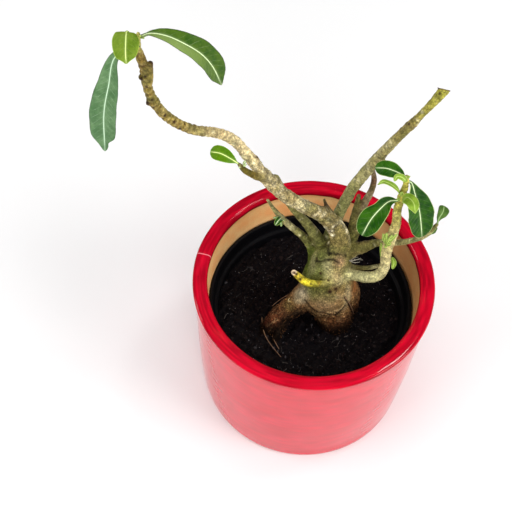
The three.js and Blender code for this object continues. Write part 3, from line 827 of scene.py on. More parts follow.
# Marks on the bark by where they show in the photograph, as x, y, radius and how far they stand out
DARK_MARKS = [
    (174.4, 122.2, 1.0, -0.25), (165, 115.5, 0.9, -0.15), (152.8, 107.8, 0.9, -0.2),
    (147.8, 102.8, 1.0, 0.3), (152, 100, 0.7, -0.15), (146.7, 87.2, 0.8, -0.15), (141.5, 79, 1.1, 0.2),
    (145.5, 76.7, 0.7, -0.15), (180, 128.9, 0.9, -0.2), (151, 62, 0.7, 0.1), (257, 157, 0.9, 0.2),
    (185, 124, 0.6, -0.1), (300.2, 279.4, 0.95, -0.2), (328.2, 280.2, 0.8, -0.15), (297, 274, 0.6, -0.1),
    (294.2, 272.7, 1.05, -0.2), (296.2, 274.2, 0.7, -0.1), (317, 259, 0.6, -0.2), (320.6, 273.3, 0.9, -0.2),
    (317, 258.5, 0.7, -0.1), (311, 284, 0.6, -0.1), (385.5, 155.5, 0.8, 0.2), (439.6, 93.6, 0.8, -0.1),
    (409, 124, 0.9, 0.1), (236, 151, 0.6, -0.1), (330, 292, 1.2, -0.1), (336, 289, 1.0, -0.1),
]
PALE_MARKS = [
    (367.9, 168.6, 0.8, 0.25), (375, 155, 0.8, 0.25), (386.9, 146, 0.8, 0.2), (422, 112, 0.8, 0.3),
    (417.9, 124, 0.8, 0.3), (354.5, 180, 0.7, 0.2), (326.5, 237, 1.0, 0.35), (328, 242, 0.8, 0.3),
    (243, 156, 1.1, 0.25), (253, 163, 1.0, 0.2), (234, 144, 0.8, 0.2), (239, 141, 0.7, 0.25),
    (299.5, 235.5, 0.8, 0.25), (289, 300, 0.6, 0.2), (213, 132, 0.9, 0.2), (206, 136, 0.9, 0.1),
]
# Broad patches and swellings of the bark, placed in the same way: x, y, radius, colour, rise and strength;
# the darkest of them are painted shade
PATCHES = [
    (311, 252, 5.0, (92, 104, 38), 0.0, 0.7), (307, 264, 5.5, (66, 86, 26), 0.0, 0.8),
    (318, 271, 4.5, (96, 106, 52), 0.0, 0.6), (321, 256, 4.5, (92, 104, 38), 0.0, 0.6),
    (340, 262, 3.6, (190, 150, 112), 0.2, 0.7), (337, 276, 3.4, (196, 170, 116), 0.3, 0.6),
    # (320, 288) and, on the next line, (334, 289) are painted shade under the yellow stub
    (350, 277, 4.0, (184, 182, 128), 0.0, 0.5), (320, 288, 4.0, (66, 58, 28), -0.2, 0.75),
    (334, 289, 3.6, (84, 62, 34), -0.2, 0.7), (355, 287, 5.0, (158, 98, 54), 0.0, 0.7),
    (303, 292, 4.6, SLATE, 0.1, 0.6), (324, 304, 7.0, (134, 110, 80), 0.0, 0.7),
    # (327, 243) is painted shade in the hollow of the fork
    (331, 322, 5.5, (112, 68, 40), 0.0, 0.6), (327, 243, 2.6, UMBER, -0.4, 0.6),
    (268.5, 174, 2.6, (122, 114, 84), 0.9, 0.6), (274, 178, 2.8, (126, 118, 88), 1.1, 0.6),
    (279.5, 182.5, 2.6, (112, 102, 70), 0.9, 0.7), (285, 187, 2.2, (96, 84, 56), 0.3, 0.7),
    # (311, 240) and (314, 246) are painted shade on the shaded side of the left stem
    (311, 240, 2.4, (60, 54, 18), 0.0, 0.75), (314, 246, 2.0, (60, 54, 18), 0.0, 0.6),
    (238, 146, 2.0, TAN, 0.4, 0.4), (243, 158, 2.0, CREAM, 0.5, 0.5), (253, 164, 1.6, CREAM, 0.4, 0.5),
    (265, 322, 3.4, (124, 64, 44), 0.0, 0.75), (288, 305, 4.0, (120, 108, 60), 0.0, 0.6),
    (282, 311, 4.0, (92, 58, 36), 0.0, 0.65), (274, 317, 3.5, (106, 62, 36), 0.0, 0.6),
    # Painted shade between and below the roots, from here to the end of the list
    (291, 326, 4.5, PAINTED_SHADE, 0.0, 0.95), (284, 334, 4.5, PAINTED_SHADE, 0.0, 0.95), (299, 318, 3.6, PAINTED_SHADE, 0.0, 0.9),
    (275, 343, 3.4, PAINTED_SHADE, 0.0, 0.9), (316, 330, 3.4, (34, 28, 14), 0.0, 0.8),
    (322, 340, 4.2, PAINTED_SHADE, 0.0, 0.95), (332, 342, 4.2, PAINTED_SHADE, 0.0, 0.95), (343, 339, 4.2, PAINTED_SHADE, 0.0, 0.95),
    (352, 330, 4.0, PAINTED_SHADE, 0.0, 0.85), (266, 334, 3.6, PAINTED_SHADE, 0.0, 0.9), (284, 322, 2.6, PAINTED_SHADE, 0.0, 0.8),
]
# Leaf scars: the branch, where they start and end along it, how far apart, and their colour and strength
SCARS = [
    ("leaning", 110, 190, 5.0, (104, 74, 44), 0.7), ("leaning", 190, 266, 3.2, (96, 64, 36), 0.85),
    ("cut", 40, 130, 7.0, CREAM, 0.7), ("cut", 60, 134, 9.0, (92, 68, 44), 0.7),
    ("curled", 16, 50, 5.0, CREAM, 0.6), ("curled", 50, 100, 3.4, (96, 76, 36), 0.75),
    ("right", 18, 60, 4.5, CREAM, 0.6), ("middle", 14, 60, 7.0, CREAM, 0.5),
    ("left", 12, 44, 6.0, CREAM, 0.5), ("thin", 14, 55, 5.5, (176, 150, 112), 0.7),
    ("yellow", 8, 30, 3.5, (120, 84, 30), 0.8),
]
# Stems with rings: between which heights they set in, and how strongly they show
RINGED = [("leaning", 196, 214, 1), ("curled", 124, 150, 1), ("cut", 224, 234, 0.6)]
# Creases in the bark, each a line through the photograph, sunk and darkened with painted shade
CREASES = [
    [(316, 261), (321, 261.5), (328, 259.5), (334, 260), (339, 263)],
    [(305, 300), (310, 307), (316, 312), (325, 313), (335, 316), (341, 311), (345, 306)],
    [(345, 298), (349, 304), (353, 312)],
    [(328, 244), (327.5, 249), (329, 255)],
    [(330, 252), (337, 254), (346, 256)],
]


def measured(rows):
    """A line of x, y, z and radius, with its run in millimetres and the directions across it."""
    centre, radius = rows[:, :3], rows[:, 3]
    _, side, up = directions(centre)
    return {"centre": centre, "radius": radius, "run": lengths(centre), "side": side, "up": up}


def to_stem(points, stem):
    """How far each point lies outside a stem, how far along it, and how far round it."""
    start, step = stem["centre"][:-1], np.diff(stem["centre"], axis=0)
    squares = (step ** 2).sum(1)
    dot = points @ step.T - (start * step).sum(1)
    share = np.clip(dot / squares, 0, 1)
    apart = (points ** 2).sum(1)[:, None] - 2 * points @ start.T + (start ** 2).sum(1)
    apart = np.sqrt(np.maximum(apart - 2 * share * dot + share ** 2 * squares, 0))
    gap = apart - stem["radius"][:-1] - share * np.diff(stem["radius"])
    best = gap.argmin(1)
    row = np.arange(len(points))
    run = stem["run"][best] + share[row, best] * np.sqrt(squares[best])
    out = points - start[best] - share[row, best][:, None] * step[best]
    angle = np.arctan2((out * stem["up"][best]).sum(1), (out * stem["side"][best]).sum(1))
    return gap[row, best], run, angle


def survey(points, stems):
    """The gap to each stem, the run along it and the angle round it, for each point near enough."""
    gaps = np.full((len(points), len(stems)), FAR_GAP)
    runs = np.zeros_like(gaps)
    angles = np.zeros_like(gaps)
    for column, stem in enumerate(stems.values()):
        margin = stem["radius"].max() + REACH
        low, high = stem["centre"].min(0) - margin, stem["centre"].max(0) + margin
        near = np.flatnonzero(((points > low) & (points < high)).all(1))
        for part in np.array_split(near, len(near) // POINTS_AT_ONCE + 1):
            if len(part):
                gaps[part, column], runs[part, column], angles[part, column] = to_stem(points[part], stem)
    return gaps, runs, angles


def melted(gaps):
    """The distance to the whole plant, with its stems melted together where they meet."""
    return -FILLET * np.log(np.exp(-np.clip(gaps, -30, 30) / FILLET).sum(1))


def normals_of(points, faces):
    """A direction out of the surface at each point, for faces of four corners."""
    diagonal = points[faces[:, 2]] - points[faces[:, 0]]
    other = points[faces[:, 3]] - points[faces[:, 1]]
    across = np.cross(diagonal, other)
    normals = np.zeros_like(points)
    for corner in range(4):
        for axis in range(3):
            normals[:, axis] += np.bincount(faces[:, corner], across[:, axis], len(points))
    return unit(normals)


def camera_axes():
    """The camera's right, its up and the way it looks."""
    ahead = np.array([0, math.cos(LOOK_DOWN), -math.sin(LOOK_DOWN)])
    level = np.array([1.0, 0, 0])
    above = np.cross(level, ahead)
    right = level * math.cos(CAMERA_TILT) + above * math.sin(CAMERA_TILT)
    up = above * math.cos(CAMERA_TILT) - level * math.sin(CAMERA_TILT)
    return right, up, ahead


def pixel_ray(x, y):
    """The way the camera looks through a place in the photograph."""
    right, up, ahead = camera_axes()
    middle = IMAGE_SIZE / 2
    return unit(ahead * FOCAL_PIXELS + right * (x - middle) - up * (y - middle))


def seen_at(tree, x, y, spread=6):
    """The point of a surface that shows at a place in the photograph, or beside it at an outline."""
    for far in range(spread):
        for turn in range(8 if far else 1):
            dx, dy = far * math.cos(TURN * turn / 8), far * math.sin(TURN * turn / 8)
            hit = tree.ray_cast(Vector(CAMERA_PLACE), Vector(pixel_ray(x + dx, y + dy)))[0]
            if hit:
                return np.array(hit)
    return None


def plant_surface(stems):
    """The plant's skin as four-cornered faces about as large as one voxel, melted at the forks."""
    bodies = [tube(stem["centre"], stem["radius"], 16) for stem in stems.values()]
    blank = new_mesh("plant_blank", *joined(bodies))
    remesh = blank.modifiers.new("skin", "REMESH")
    remesh.mode = "VOXEL"
    remesh.voxel_size = VOXEL * MM
    relax = blank.modifiers.new("relax", "SMOOTH")
    relax.factor = 0.5
    relax.iterations = 3
    points, faces = finished(blank)
    faces = np.array(faces)
    end = stems["cut"]["centre"]
    way = unit(end[-1] - end[-4])
    past = np.where(np.linalg.norm(points - CUT_PLACE, axis=1) < 9, (points - CUT_PLACE) @ CUT_WAY, 0)
    points = points - np.maximum(past, 0)[:, None] / way.dot(CUT_WAY) * way
    for _ in range(3):
        depth = melted(survey(points, stems)[0])
        depth = np.maximum(depth, (points - CUT_PLACE) @ CUT_WAY)
        points = points - normals_of(points, faces) * np.clip(depth, -1.2, 1.2)[:, None] * 0.95
    return points, faces


def stem_tints(stems, gaps, runs):
    """The bark colour of each point, blended between the stems that meet there."""
    share = np.exp(-np.clip(gaps - gaps.min(1)[:, None], 0, 30) / 1.1)
    share /= share.sum(1)[:, None]
    tint = np.zeros((len(gaps), 3))
    for column, (name, stem) in enumerate(stems.items()):
        colours = BARK[name if name in BARK else name.split("_")[0]]
        colours = np.array([srgb(*colour) for colour in colours])
        where = np.clip(runs[:, column] / stem["run"][-1], 0, 1) * (len(colours) - 1)
        own = np.column_stack([np.interp(where, range(len(colours)), channel) for channel in colours.T])
        tint += own * share[:, column][:, None]
    return tint


def on_stem(stem, along, turn):
    """A place on a stem's skin, and the way the stem runs there."""
    spot = np.argmin(np.abs(stem["run"] - along))
    out = stem["side"][spot] * math.cos(turn) + stem["up"][spot] * math.sin(turn)
    way = unit(stem["centre"][min(spot + 1, len(stem["centre"]) - 1)] - stem["centre"][spot - 1])
    return stem["centre"][spot] + out * stem["radius"][spot], way


class Bark:
    """The plant's skin: where each point lies on its stem, how far it is raised and its colour."""

    def __init__(self, stems):
        self.stems = stems
        self.points, self.faces = plant_surface(stems)
        self.random = np.random.default_rng(7)
        self.tree = BVHTree.FromPolygons(self.points.tolist(), self.faces.tolist())
        self.normals = normals_of(self.points, self.faces)
        self.height = self.points[:, 2]
        gaps, runs, angles = survey(self.points, stems)
        self.nearest = gaps.argmin(1)
        row = np.arange(len(self.points))
        self.run, self.angle = runs[row, self.nearest], angles[row, self.nearest]
        self.thick = np.zeros(len(self.points))
        for number, stem in enumerate(stems.values()):
            here = self.nearest == number
            self.thick[here] = np.interp(self.run[here], stem["run"], stem["radius"])
        self.tint = stem_tints(stems, gaps, runs)
        self.lift = np.zeros(len(self.points))
        self.fibrous = ramp(ROOT_TOP - self.height + 2.5 * self.noise(4, 21), 0, 9)

    def on(self, name):
        """Whether each point lies on that stem."""
        return self.nearest == list(self.stems).index(name)

    def noise(self, size, seed):
        return noise(self.points, size, seed)

    def strokes(self, length, width, shift, seed):
        """Noise in strokes of that length and width along the stems."""
        place = np.column_stack([self.run, self.angle * self.thick, self.nearest * STEM_SHIFT + shift])
        return noise(place, (length, width, 1.0), seed)

    def coat(self, colour, share):
        self.tint = blend(self.tint, colour, share)

    def dab(self, place, size, rise, colour, share, crisp=1):
        """Raises and colours the bark round a place, fading with distance, or with a crisp edge above 1."""
        close = np.flatnonzero(np.abs(self.points - place).max(1) < 3 * size)
        near = np.exp(-(((self.points[close] - place) ** 2).sum(1) / size ** 2) ** crisp)
        self.lift[close] += rise * near
        self.tint[close] = blend(self.tint[close], colour, near * share)

    def relief(self):
        """Lumps and pores all over, fibres on the roots and wrinkles across the branches."""
        self.lift += 0.16 * self.noise(3.1, 22) * ramp(self.thick, 1, 4) + 0.06 * self.noise(1.5, 23)
        self.lift += self.fibrous * (0.30 * self.strokes(4.5, 0.9, 0, 24) + 0.24 * self.noise(2.0, 25))
        wrinkles = self.strokes(0.95, 6.0, 3, 26) * ramp(self.thick, 0.8, 2.5)
        self.lift += (1 - self.fibrous) * 0.12 * wrinkles
        self.lift += self.on("caudex") * 0.35 * self.noise(6.5, 27)

    def rings(self):
        """Swollen rings towards the branches' young ends, with painted highlight on their crests and painted
        shade in their grooves.
        """
        curled = self.on("curled")
        rings = np.zeros(len(self.points))
        for name, start, end, strength in RINGED:
            rings += ramp(self.height, start, end) * self.on(name) * strength
        crest = 0.5 + 0.5 * np.cos(TURN * (self.run / RING_SPACING + 0.85 * self.noise(5.5, 28)))
        self.lift += rings * 0.26 * (crest - 0.5)
        # Painted highlight on the ring crests, then painted shade in the grooves
        self.coat(TAN, rings * crest ** 3 * 0.4)
        self.coat((92, 72, 34), rings * (1 - crest) ** 5 * np.where(curled, 0.2, 0.5))
        self.coat(LIME, curled * ramp(self.height, 150, 165) * 0.3)

    def weathering(self):
        """Cream patches and moss on the smooth bark, a green crown, dark and pale fibres on the roots."""
        height, fibrous, smooth = self.height, self.fibrous, 1 - self.fibrous
        self.coat(CREAM, ramp(self.noise(7, 29), 0.0, 0.6) * smooth * ramp(height, 215, 195) * 0.3)
        mossy = ramp(self.noise(5.5, 36), 0.05, 0.6) * smooth * ramp(height, 100, 112)
        self.coat(MOSS, mossy * np.where(self.on("curled"), 0.15, 0.4))
        crown = ramp(height, 104, 110) * ramp(height, 124, 115) * ramp(self.points[:, 0], 14, 7)
        self.coat((84, 96, 36), crown * 0.8)
        self.coat(UMBER, ramp(self.noise(1.6, 33), 0.0, -0.6) * fibrous * 0.7)
        self.coat(UMBER, ramp(self.strokes(4.5, 0.9, 0, 24), -0.1, -0.7) * fibrous * 0.6)
        self.coat((206, 170, 122), ramp(self.strokes(2.6, 0.9, 5, 34), 0.3, 0.7) * fibrous * 0.35)

    def patches(self):
        # Colour patches and swellings; the darkest are painted shade
        for x, y, size, colour, rise, share in PATCHES:
            self.dab(seen_at(self.tree, x, y), size, rise, colour, share)

    def shade(self):
        """Painted shade where the roots face down on the left and where they reach the soil. Returns how dark
        each point got.
        """
        hidden = ramp(self.normals[:, 2], 0.62, 0.2) * self.fibrous * ramp(self.points[:, 0], 12, -4)
        shade = np.maximum(hidden * 0.9, ramp(self.height, 91, 80) * 0.95)
        self.coat(PAINTED_SHADE, shade)
        return shade

    def creases(self):
        # Each crease is sunk and darkened with painted shade
        for line in CREASES:
            found = [seen_at(self.tree, x, y) for x, y in line]
            line = evenly(np.array([place for place in found if place is not None]), 12)
            apart = to_stem(self.points, measured(np.column_stack([line, np.zeros(len(line))])))[0]
            apart = apart + 0.35 * self.noise(1.5, 35)
            self.lift -= 0.75 * bell(apart, 0.8)
            self.coat(PAINTED_SHADE, bell(apart, 0.85) * 0.95)

    def warts(self):
        """Pale warts and dark pits on the lower half of the long branch."""
        random = self.random
        for _ in range(WARTS):
            place, _ = on_stem(self.stems["leaning"], random.uniform(26, 100), random.uniform(0, TURN))
            place = place + random.normal(0, 0.4, 3)
            cluster = 0.3 + 0.7 * ramp(noise(place[None], 9, 31), -0.2, 0.4)[0]
            size = random.uniform(0.6, 1.3)
            if random.random() < 0.3:
                self.dab(place, size, -0.2 * size, UMBER, 0.95 * cluster)
            else:
                self.dab(place, size, 0.45 * size * cluster, (240, 230, 192), 0.95 * cluster)

    def leaf_scars(self):
        """Crescents where old leaves fell off, each turned by the golden angle from the last."""
        for name, first, last, spacing, colour, strength in SCARS:
            stem = self.stems[name]
            count = int((min(last, stem["run"][-1]) - first) / spacing)
            for number in range(count):
                along = first + number * spacing + self.random.uniform(-0.8, 0.8)
                place, way = on_stem(stem, along, number * GOLDEN_ANGLE + self.random.uniform(-0.3, 0.3))
                close = np.flatnonzero(np.abs(self.points - place).max(1) < 3.2)
                offset = self.points[close] - place
                lengthwise = offset @ way
                crosswise = np.linalg.norm(offset - lengthwise[:, None] * way, axis=1)
                apart = np.hypot((lengthwise + 0.25 * crosswise ** 2) / 0.5, crosswise / 1.3)
                self.lift[close] += 0.20 * bell(apart - 1, 0.6) - 0.10 * np.exp(-apart ** 2 * 2)
                self.tint[close] = blend(self.tint[close], colour, bell(apart, 1) * strength)

    def ends(self):
        """The brown cut, the yellow stub's broken white end and painted shade on its underside, the pale
        growing tip.
        """
        self.coat((84, 44, 26), ramp((self.points - CUT_PLACE) @ CUT_WAY, -0.6, -0.25) * 0.95)
        away = np.linalg.norm(self.points - self.stems["yellow"]["centre"][-1], axis=1)
        self.coat((240, 214, 186), ramp(away, 2.3, 1.7) * 0.8)
        # Painted shade: darker green on the yellow stub's underside
        self.coat(MOSS, ramp(self.normals[:, 2], 0.3, -0.4) * self.on("yellow") * 0.6)
        self.coat((222, 212, 120), ramp(self.height, 265, 269) * self.on("leaning"))

    def marks(self):
        for x, y, size, rise in DARK_MARKS:
            self.dab(seen_at(self.tree, x, y), size, rise, UMBER, 1.0, crisp=2)
        for x, y, size, rise in PALE_MARKS:
            self.dab(seen_at(self.tree, x, y), size, rise, CREAM, 0.85)


def plant():
    """The whole woody plant, its bark raised and coloured by where each point lies along its stem."""
    bark = Bark({name: measured(spline(rows, TUBE_STEP)) for name, rows in STEMS.items()})
    bark.relief()
    bark.rings()
    bark.weathering()
    bark.patches()
    shade = bark.shade()
    bark.creases()
    bark.warts()
    bark.leaf_scars()
    bark.ends()
    bark.marks()
    warty = bark.on("leaning") * ramp(bark.height, 118, 135) * ramp(bark.height, 205, 190)
    fleck = 0.25 + 0.25 * warty + 0.6 * bark.fibrous + 0.2 * bark.on("caudex")
    bark.points = bark.points + bark.normals * bark.lift[:, None]
    body = bark.points, bark.faces.tolist()
    piece(
        "desert_rose_wood", body, bark_material(), "bark", ["caudex_and_branches"],
        tint=np.clip(bark.tint, 0.001, 1),
        rough=np.clip(bark.fibrous + 0.4 * warty, 0, 1),
        fleck=fleck * (1 - shade),
    )
    return bark


# Roots' loose hairs and strands, placed by where they show in the photograph

STRANDS = [
    [(262, 317), (262, 323), (263, 330), (266, 338), (270, 344), (276, 351), (281, 357)],
    [(345, 297), (349, 302), (352, 308), (354, 314)],
    [(272, 336), (275, 342), (279, 349)],
    [(296, 292), (288, 294), (279, 300), (272, 306)],
]
FORK = (349, 261)
FORK_HAIRS = [
    (352, 262), (355, 259), (358, 257), (361, 258), (356, 263), (360, 262), (353, 258), (363, 260),
    (350, 260),
]


def root_hairs(bark):
    """Fine hairs on the roots, a few long strands and a tuft in the fork."""
    random = np.random.default_rng(19)
    strewn = Strewn()
    points, normals = bark.points, normals_of(bark.points, bark.faces)
    wanted = np.flatnonzero((bark.fibrous > 0.45) & (points[:, 2] > SOIL_TOP) & (points[:, 2] < ROOT_TOP))
    for start in random.choice(wanted, HAIRS, replace=False):
        out = normals[start]
        down = np.array([0, 0, -1.0]) + random.normal(0, 0.45, 3)
        way = unit(down - down.dot(out) * out)
        length = random.uniform(0.8, 2.4)
        steps = np.linspace(0, 1, 5)[:, None]
        curl = random.normal(0, 0.35, 3) * steps * (1 - steps) * length
        line = points[start] + way * steps * length + out * (0.05 + 0.5 * np.sin(steps * 2.2) * 0.35) + curl
        body = tube(line, np.linspace(0.14, 0.06, 5) * random.uniform(0.7, 1.3), 3)
        strewn.add(body, srgb(140, 98, 64), random.uniform(0.12, 1))
    for route in STRANDS:
        ways = [pixel_ray(x, y) for x, y in route]
        depths = []
        for (x, y), way in zip(route, ways):
            place = seen_at(bark.tree, x, y, 1)
            ground = (SOIL_TOP + 1.8 - CAMERA_PLACE[2]) / way[2]
            depths.append(ground if place is None else min(ground, (place - CAMERA_PLACE).dot(way)) - 0.6)
        line = np.array([CAMERA_PLACE + way * depth for way, depth in zip(ways, depths)])
        line[1:-1] = (line[:-2] + 2 * line[1:-1] + line[2:]) / 4 - np.array(ways[1:-1]) * 0.3
        strewn.add(tube(spline(line, 0.8), 0.16, 6), srgb(168, 132, 104), 1)
    centre = seen_at(bark.tree, *FORK)
    for x, y in FORK_HAIRS:
        way = pixel_ray(x, y)
        place = CAMERA_PLACE + way * ((centre - CAMERA_PLACE).dot(way) - random.uniform(0, 2.5))
        middle = (centre + place) / 2 + random.normal(0, 0.5, 3)
        body = tube(spline([centre, middle, place], 0.6), 0.13, 4)
        strewn.add(body, srgb(206, 198, 180), random.uniform(0.5, 1))
    strewn.finish("root_hairs", "bark")


# Leaves

def blade_share(t, widest, start_power, end_power):
    """How much of its width a blade has along its length: a slow widening, then a rounded end."""
    early = np.sin(np.clip(t / widest, 0, 1) * math.pi / 2) ** start_power
    late = np.clip((t - widest) / (1 - widest), 0, 1)
    return np.where(t < widest, early, np.sqrt(np.maximum(0, 1 - late ** end_power)))


def leaf_body(path, width, widest, fold, face, left=1.0, right=1.0, start_power=1.35, end_power=2.3,
              petiole=1.7, wave=0.25, notch=None, point=0.0, stalk=0.0, pale=0.0):
    """A leaf's points and faces, with its distances from the midrib and margin and along its length."""
    steps, columns = (64, 15) if width > 5 else (34, 7)
    centre = evenly(spline(path, 0.5), steps)
    along = unit(np.gradient(centre, axis=0))
    across = unit(np.cross(along, unit(np.asarray(face, float))))
    up = unit(np.cross(across, along))
    run = lengths(centre)[:, None]
    t = np.linspace(0, 1, steps)[:, None]
    slender = petiole / 2 * (1 - t) + 0.12 * t
    half = width / 2 * blade_share(np.clip((t - stalk) / (1 - stalk), 0, 1), widest, start_power, end_power)
    half = half * (1 - point * ramp(t, 0.86, 0.985) * (1 - ramp(t, 0.985, 1.0)))
    thickness = np.interp(t, [0, 0.12, 0.3, 1], [petiole * 0.8, petiole * 0.6, 0.55, 0.38])
    share = np.linspace(-1, 1, 2 * columns + 1)
    share = np.sign(share) * np.abs(share) ** 1.15
    place = np.concatenate([share, share[-2:0:-1]])
    under = np.arange(len(place)) >= len(share)
    left_half, right_half = np.maximum(slender, half * left), np.maximum(slender, half * right)
    if notch:
        side, middle, size, depth = notch
        bite = 1 - depth * bell(t - middle, size)
        left_half, right_half = (left_half * bite, right_half) if side < 0 else (left_half, right_half * bite)
    margin = np.where(place < 0, left_half, right_half)
    reach = margin * place
    off = np.abs(reach)
    ripple = wave * (half / (width / 2)) * np.sin(run * 0.62 + np.sign(place) * 1.3) * place ** 4
    quilt = 0.06 * np.sin((run - off * VEIN_SLANT) / VEIN_SPACING * TURN) * ramp(off, 0.6, 2) * (half > 1.5)
    groove = -0.14 * bell(off, 0.5) * (half > 1.2)
    ridge = -0.55 * bell(off, 0.55) * np.minimum(1, thickness / 0.5) * (half > 1.2)
    body = thickness / 2 * np.sqrt(np.maximum(0, 1 - np.abs(place) ** 6))
    height = fold * off + ripple + quilt + np.where(under, ridge - body, groove + body)
    rings = centre[:, None] + across[:, None] * reach[..., None] + up[:, None] * height[..., None]
    grids = {
        "rib": (off, 0, 0),
        "edge": (margin - off + np.where(half < slender * 1.15, 0.6, 0), 1, 0),
        "run": (run, 0, run[-1, 0]),
        "under": (under, 0, 0),
        "stripe": (1 - 0.75 * ramp(t, 0.86, 0.99), 1, 0.2),
        # pale marks one half of the blade for painted light, fading towards the tip
        "pale": (pale * ramp(place, 0.0, 0.25) * (1 - 0.85 * ramp(t, 0.5, 0.85)), 0, 0),
    }
    values = {
        key: np.append(np.broadcast_to(grid, reach.shape), [start, end])
        for key, (grid, start, end) in grids.items()
    }
    return loft(rings), values


def shoot(path, width):
    """A tiny new blade, folded along its midrib."""
    return dict(path=path, width=width, widest=0.55, fold=0.35, face=(0, -0.5, 0.85), petiole=0.7, wave=0)


def bud(base, way, size):
    """A new leaf that stands out of base, bent down a little at its end."""
    base, way = np.array(base, float), unit(np.array(way, float))
    end = base + way * size + np.array([0, 0, -0.08 * size])
    return shoot([base, base + way * size * 0.5, end], size * 0.42)


def leaflet(end):
    """A slim young leaflet that arches from the foot of the curled branch's tuft to its end."""
    foot, end = np.array(LEAFLET_FOOT), np.array(end)
    return shoot([foot, (foot + end) / 2 + LEAFLET_ARCH, end], 1.7)


def small(path, width, fold, face, petiole=1):
    """A small leaf on a thin stalk, nearly even along its margin."""
    return dict(path=path, width=width, widest=0.6, fold=fold, face=face, petiole=petiole, wave=0.1)


# The tuft of young leaflets on the curled branch: where they grow from, where each ends, how they arch
LEAFLET_FOOT = (37.3, 3.5, 141.8)
LEAFLET_ENDS = [
    (37.1, 6.1, 149.7), (39, 3.8, 148.5), (39.8, 4.8, 150.3), (42.3, 4.8, 151.4), (39.8, 2.2, 145.8),
    (37.2, 1.2, 142.4), (35.2, 7, 148),
]
LEAFLET_ARCH = (-0.2, -0.6, 0.4)

# Leaf colours: blade, darker patches, midrib, margin, how strongly side veins show, half the midrib's width
IVORY, STRAW = (214, 232, 178), (222, 238, 150)
LEAF_COLOURS = {
    "olive": ((72, 99, 27), (45, 79, 16), IVORY, (44, 66, 20), 0.16, 0.22),
    "dark": ((46, 92, 8), (20, 64, 3), IVORY, (168, 192, 100), 0.1, 0.17),
    "deep": ((47, 91, 8), (17, 61, 3), IVORY, (210, 228, 150), 0.08, 0.22),
    # The dull blade's pale blue-green is partly the leaf's own colour and partly painted sheen, a reflection
    # of the white surroundings
    "dull": ((99, 131, 89), (72, 107, 66), (196, 224, 190), (60, 84, 60), 0.28, 0.22),
    "young": ((118, 142, 44), (92, 120, 28), STRAW, (190, 216, 90), 0.12, 0.22),
    "fresh": ((86, 126, 5), (72, 113, 3), STRAW, (140, 176, 44), 0.1, 0.22),
    "light": ((136, 166, 56), (108, 142, 38), (176, 200, 104), (196, 212, 120), 0.1, 0.22),
    "tender": ((122, 146, 50), (86, 112, 34), (184, 206, 104), (190, 208, 116), 0, 0.22),
    "plain": ((78, 108, 44), (56, 88, 30), (156, 184, 120), (74, 88, 46), 0.1, 0.22),
}

